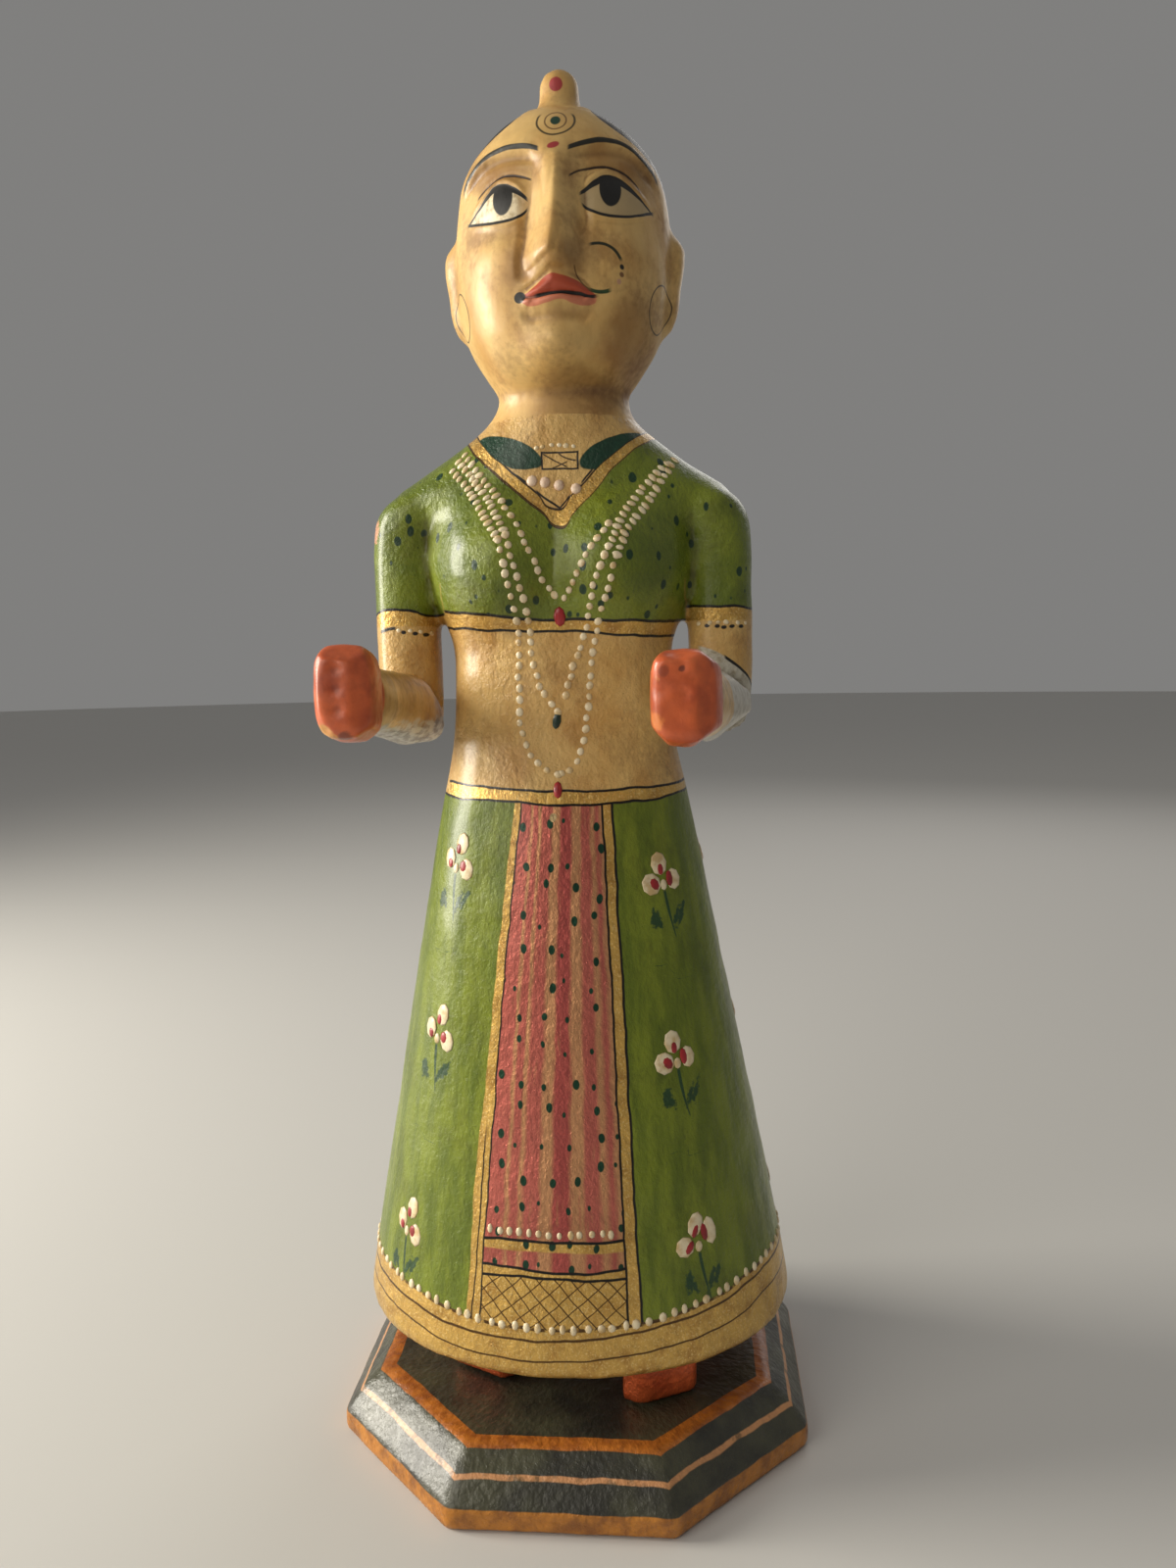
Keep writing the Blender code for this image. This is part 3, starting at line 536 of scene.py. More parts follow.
def bodice_paint():
    """Blouse, sleeves, belly and waistband."""
    work = Brushwork("bodice_paint")
    skin_ground(work)
    ahead = work.below(work.y, 0.0, 1.0)
    arm = work.above(work.unsigned(work.x), ARM_X, 0.3)
    trunk = work.outside_of(arm)
    # brown varnish on the belly
    rough = work.cloud(0.22, 5.0)
    work.lay(PATINA_AND_SHADE, work.ramp(rough, 0.5, 0.75), 0.34)
    low = work.through(BLOUSE_LOW)
    top = work.through(BLOUSE_TOP)
    collar = work.through(COLLAR_OUT)
    lining = work.through(COLLAR_IN)
    # blouse
    sleeve_low = work.through(SLEEVE_LOW)
    waist_top = work.through(WAIST_TOP)
    waist_low = work.through(WAIST_LOW)
    body_green = work.both(work.above(work.z, top), work.either(trunk, work.above(work.z, ARMPIT_Z, 1.0)))
    arm_green = work.both(work.above(work.z, sleeve_low), arm)
    neck = work.both(work.above(work.z, collar), ahead)
    nape = work.both(work.above(work.z, NAPE_Z), work.outside_of(ahead))
    bare = work.either(neck, nape)
    cloth = work.both(work.either(body_green, arm_green), work.outside_of(bare))
    work.lay(leaf_green(work, work.cloud(0.1, 4.0)), cloth)
    spot_place = work.arrow("MULTIPLY", work.drawn, (1.0, 1.0, 0.7))
    spots = work.node("TexVoronoi", {"Vector": spot_place, "Scale": 0.37, "Randomness": 0.85})
    chance = work.node("SeparateColor", {0: spots.outputs["Color"]}).outputs[0]
    spot_size = work.ramp(chance, 0.0, 1.0, 0.09, 0.27)
    spot = work.inside(work.less(spots.outputs["Distance"], spot_size), 0.03)
    work.lay(paint(28, 58, 32), cloth, spot)
    # gold borders with ink lines
    blouse_band = work.both(work.between(work.z, low, top), trunk)
    sleeve_band = work.both(work.between(work.z, SLEEVE_BAND_LOW, sleeve_low), arm)
    collar_band = work.both(work.above(work.z, collar), work.below(work.z, lining), ahead)
    waistband = work.both(work.between(work.z, waist_low, waist_top), trunk)
    work.gild(work.either(blouse_band, sleeve_band, collar_band, waistband))
    for line, half, where in ((top, 0.26, trunk), (low, 0.24, trunk), (sleeve_low, 0.24, arm)):
        work.line(line, half, INK, where)
    work.line(collar, 0.3, INK, work.below(work.x, 2.0, 0.5), ahead)
    work.line(collar, 0.16, paint(92, 66, 26), ahead)
    work.line(lining, 0.22, paint(60, 44, 22), ahead)
    # leaves of the collar
    leaf_left = work.both(work.dab((-9.0, 181.4), (6.6, 2.5), 22), ahead)
    leaf_right = work.both(work.dab((10.0, 181.2), (6.8, 2.6), -24), ahead)
    work.lay(DARK_GREEN, work.either(leaf_left, leaf_right), work.above(work.z, lining))
    # clasp of the choker
    dx = work.unsigned(work.less(work.x, CLASP[0]))
    dz = work.unsigned(work.less(work.z, CLASP[1]))
    box = work.sum("MAXIMUM", work.less(dx, CLASP_HALF[0]), work.less(dz, CLASP_HALF[1]))
    work.lay(INK, work.below(work.unsigned(box), 0.17), ahead)
    for line, half in (([(-2.8, 180.8), (-0.4, 179.4), (1.6, 178.3)], 0.15),
                       ([(0.0, 180.9), (1.6, 179.9), (3.2, 179.5)], 0.15),
                       ([(-1.2, 178.1), (0.2, 178.6), (1.6, 179.3)], 0.13)):
        work.lay(paint(66, 50, 28), work.stroke(line, half), ahead)
    # ink marks below the pearls
    for line in ([(-9.1, 178.5), (-7.4, 177.1), (-5.7, 175.8)], [(-4.1, 174.2), (-2, 172.6), (0.4, 170.9)],
                 [(0.3, 170.9), (1.2, 172), (2.1, 173.3)], [(4.0, 175.4), (5, 176.5), (6.1, 177.6)]):
        work.lay(INK, work.stroke(line, 0.24), ahead)
    # lines of the waistband
    for height in (waist_top, waist_low):
        work.line(height, 0.23, INK, trunk)
    # marks below the sleeves
    dash = work.both(work.stroke([(-34.6, 150.4), (-33, 150.7), (-31.5, 150.8)], 0.28), ahead)
    for x, z in ((-30, 150.1), (-27.9, 149.9), (-26.2, 149.7), (26.0, 150.3), (27.9, 150.2), (29.1, 150.0),
                 (30.5, 150.1), (32.2, 150.0)):
        dash = work.either(dash, work.both(work.dab((x, z), (0.5, 0.36)), ahead))
    work.lay(INK, dash)
    # chalky elbow on the right, beyond an ink arc
    arc = work.through(ELBOW_ARC)
    elbow = work.both(work.below(work.z, arc, 0.2), work.above(work.x, 24.5, 0.5))
    work.lay(chalky(work), elbow)
    work.line(arc, 0.34, INK, work.above(work.x, 29.2, 0.4), ahead)
    # chip on the left shoulder
    work.lay(paint(208, 152, 118), work.blot(CHIP, CHIP_REACH, work.cloud(1.1, 3.0), 2.4, 0.2))
    return work.finish(roughness=(0.28, 0.46), bump=1.0, depth=0.5, grain=(1.3, 1.3, 1.0), coat=0.45,
                       veil=0.3)


# edges of the front panel and of its cloth, as heights and places across
PANEL_LEFT = [(20, -18.2), (32.3, -17.2), (44, -16.5), (57.5, -15.4), (74.6, -13.5), (88.3, -12.1),
              (105.5, -10.1), (123, -8.1)]
CLOTH_LEFT = [(20, -15.4), (39.5, -14.3), (44.5, -14), (57.9, -13), (74.9, -11.6), (88.5, -10.4),
              (105.6, -8.7), (123, -6.8)]
CLOTH_RIGHT = [(20, 11.9), (31.4, 11.2), (42.2, 10.7), (58.6, 9.9), (75.2, 9.2), (88.6, 8.6), (105.6, 7.8),
               (123, 6.9)]
PANEL_RIGHT = [(20, 14.2), (31.4, 13.5), (42, 12.9), (58.4, 12.0), (75, 11.2), (88.5, 10.5), (105.5, 9.6),
               (123, 8.7)]
SEAM_LEFT = [(20, -17.2), (34.2, -16), (40.9, -15.4), (56, -14.3), (66, -13.4)]
# the top of the hem and the two lines on it, as places across and heights
HEM_TOP = [(-42, 33), (-36.8, 32.5), (-31, 31.9), (-24.4, 31), (-17.6, 30.2), (-2.4, 30), (9.3, 30.2),
           (15.7, 30.5), (20.3, 31.1), (24.6, 31.8), (28.1, 32.3), (32.8, 33.3), (36.6, 34), (42, 34.6)]
HEM_LINE = [(-42, 30), (-37.3, 29.7), (-28.7, 29), (-20.4, 28), (-12.9, 27.8), (-5.9, 27.9), (2.6, 28.4),
            (11, 28.9), (17.7, 29.6), (24.6, 30.4), (31.8, 31.6), (36.8, 32.6), (42, 33.2)]
HEM_LOWER_LINE = [(-42, 27), (-36.5, 26.6), (-28.7, 25.8), (-20.4, 24.6), (-13, 24.4), (-5.9, 24.6),
                  (2.6, 24.9), (11, 25.3), (17.7, 25.6), (24.5, 26.3), (31.7, 27.4), (37.3, 28.6), (42, 29)]
# heights below which the hem's paint is worn, the skirt's underside gets painted shade, and the feet are
# orange
WORN_BELOW = 24.0
UNDERSIDE_SHADE_BELOW = 21.6
FEET_BELOW = 21.0
# lines across the panel
PANEL_LINES = [[(-14.2, 44.1), (-7.6, 44.5), (-2.4, 44.3), (4.4, 44.4), (10.6, 44.4)],
               [(-14.4, 39.6), (-10.3, 39.8), (-5.9, 39.5), (1.8, 39.2), (10.8, 39.8)],
               [(-14.6, 37.9), (-7.6, 38.3), (-0.7, 38.3), (4.3, 38.1), (11.2, 38.1)]]
# the cloth of the panel, from its left side to its right: where each stripe's middle lies, and its paint
PANEL_STRIPES = [(0.03, ROSE), (0.12, ROSE), (0.15, ROSE_TAN), (0.18, ROSE), (0.22, ROSE), (0.25, ROSE_TAN),
                 (0.29, ROSE), (0.37, ROSE), (0.42, ROSE_TAN), (0.47, ROSE_TAN), (0.51, ROSE_DEEP),
                 (0.6, ROSE_DEEP), (0.65, ROSE_TAN), (0.71, ROSE_TAN), (0.75, ROSE), (0.82, ROSE),
                 (0.87, ROSE_TAN), (0.93, ROSE), (0.98, ROSE_TAN)]


def skirt_paint():
    """Green skirt with flowers, the striped front panel, the gold hem and the feet below it."""
    work = Brushwork("skirt_paint")
    ahead = work.below(work.y, 0.0, 1.0)
    work.colour = leaf_green(work, work.cloud(0.32, 4.0, stretch=(1.0, 1.0, 0.12)))
    # stems and leaves
    frame_of = work.node("Attribute", attribute_name="flower").outputs["Vector"]
    u, v, _ = work.parts(frame_of)
    bow = work.sum("MULTIPLY", work.sum("MULTIPLY", v, v), 0.012)
    thin = work.ramp(v, -9.5, -4.0, 0.12, 0.3)
    stem = work.both(work.near(u, bow, thin), work.between(v, -9.6, -1.2, 0.4))
    ragged = work.sum("MULTIPLY", work.less(work.cloud(1.2, 3.0), 0.5), 1.6)
    leaves = []
    for centre, half, tilt in (((-2.7, -6.0), (0.85, 1.7), 6), ((-1.9, -6.6), (0.5, 1.2), -24),
                               ((1.7, -6.2), (0.5, 2.0), 26), ((3.0, -5.6), (0.55, 1.9), 26)):
        leaves.append(work.inside(work.sum("ADD", work.oval(centre, half, tilt, frame_of), ragged), 0.2))
    work.lay(paint(34, 66, 44), work.either(stem, *leaves), 0.92)
    # panel
    left, inner_left, inner_right, right = (work.through(edge, work.z) for edge in
                                            (PANEL_LEFT, CLOTH_LEFT, CLOTH_RIGHT, PANEL_RIGHT))
    panel = work.both(work.between(work.x, left, right), ahead)
    hem_top = work.through(HEM_TOP)
    hem = work.below(work.z, hem_top)
    above_hem = work.outside_of(hem)
    waist_low = work.through(WAIST_LOW)
    work.gild(work.either(panel, hem, work.above(work.z, waist_low)))
    span = work.less(inner_right, inner_left)
    across = work.sum("DIVIDE", work.less(work.x, inner_left), span)
    cloth = work.both(work.between(work.x, inner_left, inner_right), work.below(work.z, waist_low), ahead)
    streak = work.pair(across, work.sum("MULTIPLY", work.z, 0.006))
    streaks = work.cloud(22.0, 3.0, place=streak, roughness=0.7)
    place = work.scaled(work.less(streaks, 0.5), 0.05, across)
    rose = work.stripes(place, PANEL_STRIPES)
    rose = work.patches(streaks, 0.55, 0.8, rose, ROSE_TAN, 0.55)
    rose = work.patches(streaks, 0.45, 0.25, rose, ROSE_DEEP, 0.5)
    line_high, line_mid, line_low = (work.through(line) for line in PANEL_LINES)
    striped = work.both(cloth, work.above(work.z, line_mid))
    plain = work.between(work.z, 42.7, line_high, 0.2)
    work.lay(rose, striped, work.outside_of(plain))
    # dark seeds on the panel, in uneven rows
    seed_size = Vector((4.4, 5.4, 1.0))
    seed_place = work.arrow("DIVIDE", work.front, seed_size)
    seeds = work.node("TexVoronoi", {"Vector": seed_place, "Scale": 1.0, "Randomness": 0.62},
                      voronoi_dimensions="2D")
    away = work.arrow("SUBTRACT", seed_place, seeds.outputs["Position"])
    away = work.arrow("LENGTH", work.arrow("MULTIPLY", away, (seed_size.x / 0.52, seed_size.y / 0.78, 0.0)))
    chance = work.node("SeparateColor", {0: seeds.outputs["Color"]}).outputs[0]
    seed = work.inside(work.less(away, work.ramp(chance, 0.0, 0.8, 0.55, 1.1)), 0.14)
    work.lay(DARK_GREEN, striped, seed)
    # cross-hatched block at its foot
    across_mm = work.less(work.x, inner_left)
    rising = work.sum("PINGPONG", work.sum("ADD", across_mm, work.z), 1.5)
    falling = work.sum("PINGPONG", work.less(work.sum("MULTIPLY", across_mm, 0.85), work.z), 1.6)
    hatch = work.either(work.below(rising, 0.15), work.below(falling, 0.13))
    work.lay(GOLD_LINE, hatch, cloth, work.below(work.z, line_low), above_hem)
    # lines of the panel
    seam = work.both(work.near(work.x, work.through(SEAM_LEFT, work.z), 0.13), work.below(work.z, 62.0, 4.0))
    widths = ((inner_left, 0.15), (inner_right, 0.2), (right, 0.22))
    edges = [work.near(work.x, edge, half) for edge, half in widths]
    inked = work.both(work.either(*edges), work.below(work.z, waist_low))
    work.lay(INK, work.either(seam, inked), above_hem, ahead)
    for height in (line_high, line_mid, line_low):
        work.line(height, 0.24, INK, cloth)
    # lines of the waistband above and the hem below
    work.line(waist_low, 0.23, INK)
    work.lay(DULL_CREAM, work.dab((-1.5, 117.0), (0.6, 0.75)), ahead)
    broken = work.above(work.cloud(0.6, 2.0), 0.45, 0.1)
    work.line(hem_top, 0.3, GOLD_LINE, broken)
    work.line(work.through(HEM_LINE), 0.22, GOLD_LINE)
    work.line(work.through(HEM_LOWER_LINE), 0.16, GOLD_LINE)
    worn = work.group(WORN_EDGE, place=work.place, amount=0.8)["Mask"]
    work.lay(BARE_WOOD, worn, work.below(work.z, WORN_BELOW, 1.0))
    # painted shade on the skirt's underside, inside the hem
    under = work.below(work.z, UNDERSIDE_SHADE_BELOW, 0.2)
    inner = work.arrow("LENGTH", work.pair(work.x, work.y))
    work.lay(PATINA_AND_SHADE, under, work.below(inner, 32.0, 1.0))
    foot = work.patches(work.cloud(0.3, 4.0), 0.4, 0.7, ORANGE, ORANGE_DEEP)
    work.lay(foot, work.below(work.z, FEET_BELOW, 0.1))
    return work.finish(grime=0.4, roughness=(0.28, 0.44), bump=1.0, depth=0.36, grain=(1.4, 1.4, 0.8),
                       coat=0.45, veil=0.2)


# where the orange of each fist starts
WRIST_Y = -41.0
# chips and dirt on each fist: place, size and colour
FIST_MARKS = {
    -1: [((-31.6, -51.0, 134.6), 1.3, paint(220, 162, 84)), ((-30.4, -50.5, 133.9), 1.0, paint(214, 150, 80)),
         ((-28.6, -50.5, 134.2), 1.2, paint(120, 52, 30)), ((-28.4, -52.0, 146.0), 0.8, paint(150, 66, 42))],
    1: [((18.7, -52.0, 142.9), 0.8, paint(156, 70, 42)), ((21.3, -52.0, 143.3), 0.5, paint(120, 56, 38)),
        ((17.6, -51.0, 135.6), 1.5, paint(228, 132, 66))],
}


def forearm_paint(name, side):
    """Forearm in skin paint with an orange fist, chalky at the right elbow and under the left arm, with the
    fist's shadow painted behind the left wrist.
    """
    work = Brushwork(name)
    skin_ground(work)
    rough = work.cloud(0.3, 5.0)
    work.lay(PATINA_AND_SHADE, work.ramp(rough, 0.5, 0.7), 0.45)
    if side > 0:
        edge = work.scaled(rough, 6.0, work.less(0.0, work.y))
        work.lay(chalky(work), work.below(edge, 29.0, 0.8))
    else:
        streaks = work.cloud(0.9, 4.0, stretch=(1.0, 0.3, 1.0))
        under = work.scaled(rough, 3.0, work.z)
        arm = work.above(work.y, WRIST_Y, 0.4)
        work.lay(paint(126, 108, 80), work.below(under, 135.2, 0.7), arm)
        work.lay(CHALK, work.below(under, 136.0, 0.5), work.above(streaks, 0.5, 0.12))
        # painted shadow of the fist across the left forearm, just behind the wrist
        band = work.between(work.y, WRIST_Y, WRIST_Y + 7.0, 0.5)
        work.lay(paint(120, 96, 62), band, 0.4)
    orange = work.patches(work.cloud(0.2, 3.0), 0.36, 0.7, ORANGE, ORANGE_DEEP)
    work.lay(orange, work.below(work.y, WRIST_Y, 0.25))
    for place, size, colour in FIST_MARKS[side]:
        blot = work.blot(place, size * 1.45, work.cloud(0.8, 4.0), size * 0.9, size * 0.25)
        work.lay(colour, blot, 0.85)
    worn = work.group(WORN_EDGE, place=work.place, amount=0.6)["Mask"]
    work.lay(paint(226, 150, 92), worn)
    return work.finish(grime=0.45, bump=0.6, grain=(1.0, 1.0, 1.0))


# painted bands of the plinth, as distances out from its middle, the top of its ochre foot, and how much
# further out its corner faces lie than its straight ones
FRAME_BAND = (34.1, 36.9)
THIN_LINE = (40.0, 40.6)
RIM_TOP = 4.0
CORNER_OUT = 0.94


def plinth_paint():
    """Dark slate paint, with an orange frame on the top, a thin line on the slope and an ochre foot."""
    work = Brushwork("plinth_paint", tremble=0.18)
    work.colour = work.patches(work.cloud(0.09, 5.0), 0.35, 0.65, SLATE, SLATE_DEEP)
    ax = work.unsigned(work.x)
    ay = work.unsigned(work.y)
    slant = work.scaled(work.sum("ADD", ax, ay), math.sqrt(0.5), -CORNER_OUT)
    inset = work.sum("MAXIMUM", work.sum("MAXIMUM", ax, ay), slant)
    mottled = work.cloud(0.35, 5.0)
    frame_paint = work.patches(mottled, 0.35, 0.68, FRAME_ORANGE, paint(146, 82, 34))
    work.lay(frame_paint, work.between(inset, *FRAME_BAND))
    thin = work.patches(mottled, 0.54, 0.68, LINE_ORANGE, paint(128, 96, 60))
    work.lay(thin, work.between(inset, *THIN_LINE))
    ochre = work.patches(mottled, 0.38, 0.68, RIM_OCHRE, paint(146, 90, 32))
    work.lay(ochre, work.below(work.z, RIM_TOP, 0.12))
    worn = work.group(WORN_EDGE, place=work.place, amount=0.85)["Mask"]
    work.lay(paint(150, 120, 84), worn)
    return work.finish(grime=0.4, roughness=(0.3, 0.48), bump=0.9, depth=0.35, grain=(0.9, 0.9, 0.9),
                       coat=0.3)


def thick_paint(name, colour, deep):
    """Paint put on in thick drops."""
    work = Brushwork(name)
    work.colour = work.patches(work.cloud(0.5, 3.0), 0.4, 0.7, colour, deep)
    return work.finish(grime=0.35, bump=0.3)


# shapes
def deselect():
    bpy.ops.object.select_all(action="DESELECT")


def choose(thing):
    deselect()
    thing.select_set(True)
    bpy.context.view_layer.objects.active = thing


def apply_all(thing):
    choose(thing)
    for modifier in list(thing.modifiers):
        bpy.ops.object.modifier_apply(modifier=modifier.name)


def dressed(node, voxel, smoothing, facets=()):
    """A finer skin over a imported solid, of the same form, as a new piece that stands for it."""
    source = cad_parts[node]
    piece = bpy.data.objects.new("doll_" + node, source.data.copy())
    bpy.context.scene.collection.objects.link(piece)
    choose(piece)
    bpy.ops.object.mode_set(mode="EDIT")
    bpy.ops.mesh.select_all(action="SELECT")
    bpy.ops.mesh.remove_doubles(threshold=0.005 * MM)
    for facing, through in facets:
        bpy.ops.mesh.select_all(action="SELECT")
        bpy.ops.mesh.bisect(plane_co=Vector(through) * MM, plane_no=Vector(facing).normalized(),
                            clear_outer=True, use_fill=True)
    bpy.ops.object.mode_set(mode="OBJECT")
    skin = piece.modifiers.new("skin", "REMESH")
    skin.mode = "VOXEL"
    skin.voxel_size = voxel * MM
    skin.use_smooth_shade = True
    ease = piece.modifiers.new("ease", "SMOOTH")
    ease.factor = 0.5
    ease.iterations = smoothing
    apply_all(piece)
    piece.data.materials.clear()
    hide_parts(node)
    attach(piece, "root")
    return piece


def height_on(points, x):
    """Height of a drawn line at x, or None beyond its ends."""
    for (ax, az), (bx, bz) in zip(points, points[1:]):
        if ax <= x <= bx:
            return az + (bz - az) * (x - ax) / (bx - ax)
    return None


def hill(away):
    """1 in the middle, falling smoothly to nothing one reach away."""
    return (1.0 - away * away) ** 2 if abs(away) < 1.0 else 0.0


def step(value, low, high):
    share = min(max((value - low) / (high - low), 0.0), 1.0)
    return share * share * (3.0 - 2.0 * share)


# what is carved along the lines of the face: the line, how far above it the middle of the cut lies, its reach
# up and down, and how far it stands forward
FACE_CUTS = [
    (LEFT_CREASE, 0.0, 0.55, -0.34), (RIGHT_CREASE, 0.0, 0.55, -0.34),
    (LEFT_UPPER_LID, 0.65, 0.85, 0.34), (RIGHT_UPPER_LID, 0.65, 0.85, 0.34),
    (LEFT_LOWER_LID, -0.55, 0.75, 0.22), (RIGHT_LOWER_LID, -0.55, 0.75, 0.22),
    (LEFT_BROW, 0.1, 1.1, 0.22), (RIGHT_BROW, 0.1, 1.1, 0.22),
    (LEFT_BROW, -1.8, 1.3, -0.5), (RIGHT_BROW, -2.0, 1.4, -0.5),
    (LIPS_PARTING, 0.0, 0.6, -0.55), (LIPS_TOP, -1.1, 1.3, 0.5), (LIPS_TOP, 0.7, 0.8, -0.3),
    (LIPS_LOW, 0.5, 0.9, 0.4), (LIPS_LOW, -1.6, 1.5, -0.35),
]
# the nose, as two planes that meet in a ridge and a third cut up under its tip
NOSE_X = [(207.0, 0.4), (211.4, 0.3), (216.0, 0.9), (221.0, 1.1), (229.5, 1.3)]
NOSE_TOP = 229.0
NOSE_TIP = 211.0
NOSE_LOW = 207.2
NOSE_MIDDLE = 0.8
NOSE_REACH = 7.0
NOSE_RIDGE_Y = [(207.0, -24.3), (211.0, -24.3), (216.0, -22.9), (221.0, -21.3), (227.0, -19.4),
                (229.5, -18.6)]
NOSE_SLOPE = [(207.0, 1.15), (211.0, 1.15), (221.0, 0.95), (229.5, 0.7)]
# the cheek cut back beside it: how deep, how far from the ridge, and its reach
NOSE_SIDE_CUT = 0.65
NOSE_SIDE = 4.5
NOSE_SIDE_REACH = 2.2
# where it starts above the lip and where it has faded out below the brow
NOSE_SIDE_LOW = (206.8, 209.0)
NOSE_SIDE_TOP = (225.0, 216.0)
NOSE_UNDER = 1.5
NOSE_ROUNDING = 0.7
# where the face is carved and where its mesh is made closer: the lowest and highest place, and how far back
CARVED = (196.0, 233.0, -6.0)
CLOSER = (200.0, 232.5, -7.0)


def nose_y(x, z):
    """How far forward the cut planes of the nose stand."""
    aside = math.hypot(x - height_on(NOSE_X, z), NOSE_ROUNDING) - NOSE_ROUNDING
    plane = height_on(NOSE_RIDGE_Y, z) + height_on(NOSE_SLOPE, z) * aside
    under = height_on(NOSE_RIDGE_Y, NOSE_TIP) + NOSE_UNDER * (NOSE_TIP + 0.3 * aside - z)
    gap = plane - under
    return (plane + under + math.hypot(gap, NOSE_ROUNDING)) / 2


def on_face(place, bounds):
    low, high, back = bounds
    return low < place.z < high and place.y < back


def closer_face(piece):
    """A closer mesh on the front of the face, for its carving."""
    choose(piece)
    bpy.ops.object.mode_set(mode="EDIT")
    bpy.ops.mesh.select_all(action="DESELECT")
    bpy.ops.object.mode_set(mode="OBJECT")
    for face in piece.data.polygons:
        if on_face(face.center / MM, CLOSER):
            face.select = True
    bpy.ops.object.mode_set(mode="EDIT")
    bpy.ops.mesh.subdivide(number_cuts=2, smoothness=1.0)
    bpy.ops.object.mode_set(mode="OBJECT")


def carve_face(piece):
    """Cuts the nose, lids, brows and lips into the closer mesh of the face."""
    for vertex in piece.data.vertices:
        if not on_face(vertex.co / MM, CARVED):
            continue
        x, y, z = vertex.co / MM
        for line, offset, reach, forward in FACE_CUTS:
            height = height_on(line, x)
            if height is not None:
                ends = step(x, line[0][0], line[0][0] + 2.0) * step(x, line[-1][0], line[-1][0] - 2.0)
                y -= forward * hill((z - height - offset) / reach) * ends
        if NOSE_LOW < z < NOSE_TOP and abs(x - NOSE_MIDDLE) < NOSE_REACH:
            y += (min(y, nose_y(x, z)) - y) * step(z, NOSE_TOP, NOSE_TOP - 3.0)
            beside = hill((abs(x - height_on(NOSE_X, z)) - NOSE_SIDE) / NOSE_SIDE_REACH)
            y += NOSE_SIDE_CUT * beside * step(z, *NOSE_SIDE_LOW) * step(z, *NOSE_SIDE_TOP)
        vertex.co.y = y * MM


def whittle(piece, depth, size):
    """Slight unevenness left by the knife and the thick paint."""
    normals = [vertex.normal.copy() for vertex in piece.data.vertices]
    places = []
    for vertex, normal in zip(piece.data.vertices, normals):
        moved = vertex.co + normal * noise.noise(vertex.co / (size * MM)) * depth * MM
        places.extend(min(max(value, low), high) for value, low, high in zip(moved, *cad_box))
    piece.data.vertices.foreach_set("co", places)
    piece.data.update()


def press(piece, spots):
    """Small swellings and dents: each spot's place, reach, and how far it stands out."""
    normals = [vertex.normal.copy() for vertex in piece.data.vertices]
    for vertex, normal in zip(piece.data.vertices, normals):
        place = vertex.co / MM
        out = sum(height * hill((place - Vector(spot)).length / reach) for spot, reach, height in spots)
        vertex.co += normal * out * MM


figure = dressed("figure", 0.9, 6)
closer_face(figure)
carve_face(figure)
# a small swelling at each side of the knob's foot
press(figure, [((-4.9, -8, 240.2), 2.6, 0.5), ((5.9, -8, 240.4), 2.6, 0.5)])
whittle(figure, 0.16, 7.0)

# the fists: their middle across and up, and half widths and half heights
LEFT_FIST = ((-29.0, 140.6), (4.7, 7.4))
RIGHT_FIST = ((21.1, 139.1), (5.2, 7.3))
# knife cuts on them: which way each faces, and a point on it, as shares out from the middle at a depth
LEFT_CUTS = [((-0.8, -0.6, 0), (-0.8, -51, 0)), ((0.6, -0.8, 0), (0.34, -52, 0)),
             ((0.1, -0.55, 0.83), (-0.1, -52, 0.62)), ((0, -0.6, -0.8), (-0.1, -52, -0.81)),
             ((-0.5, -0.1, -0.86), (-0.73, -46, -0.9)), ((0.6, -0.1, -0.8), (0.71, -46, -0.87)),
             ((0.55, 0, 0.83), (0.6, -46, 0.87)), ((-0.98, 0, -0.2), (-0.95, -46, -0.29))]
RIGHT_CUTS = [((-0.75, -0.66, 0), (-0.86, -51, 0)), ((0.62, -0.78, 0), (0.4, -52, 0)),
              ((-0.1, -0.5, 0.86), (0, -52, 0.7)), ((0, -0.6, -0.8), (0, -52, -0.81)),
              ((-0.7, -0.1, -0.7), (-0.73, -46, -0.75)), ((0.6, -0.1, -0.8), (0.73, -46, -0.84)),
              ((0.6, 0, 0.8), (0.6, -46, 0.87))]


def cuts_on(fist, cuts):
    (middle_x, middle_z), (half_x, half_z) = fist
    return [(facing, (middle_x + across * half_x, y, middle_z + up * half_z))
            for facing, (across, y, up) in cuts]


left_forearm = dressed("left_forearm", 0.45, 3, cuts_on(LEFT_FIST, LEFT_CUTS))
right_forearm = dressed("right_forearm", 0.45, 3, cuts_on(RIGHT_FIST, RIGHT_CUTS))
press(left_forearm, [((-29.6, -52, 144), 1.6, -0.3), ((-29.6, -52, 141), 1.6, -0.35),
                     ((-29.5, -52, 138), 1.6, -0.3), ((-31.4, -51, 134.8), 1.3, -0.35),
                     ((-26, -51.5, 143), 2.6, 0.25)])
press(right_forearm, [((18.4, -51, 144), 2.8, 0.4), ((18.0, -52, 140.0), 1.9, -0.25),
                      ((18.8, -52, 142.9), 1.3, -0.25), ((21.3, -52, 143.3), 1.2, -0.25),
                      ((23.0, -52, 141.6), 1.4, -0.3), ((24.4, -52, 143.4), 1.4, -0.3),
                      ((21.4, -52, 139.6), 1.6, -0.2)])
plinth = dressed("plinth", 0.7, 2)
for piece in (left_forearm, right_forearm, plinth):
    whittle(piece, 0.12, 5.0)

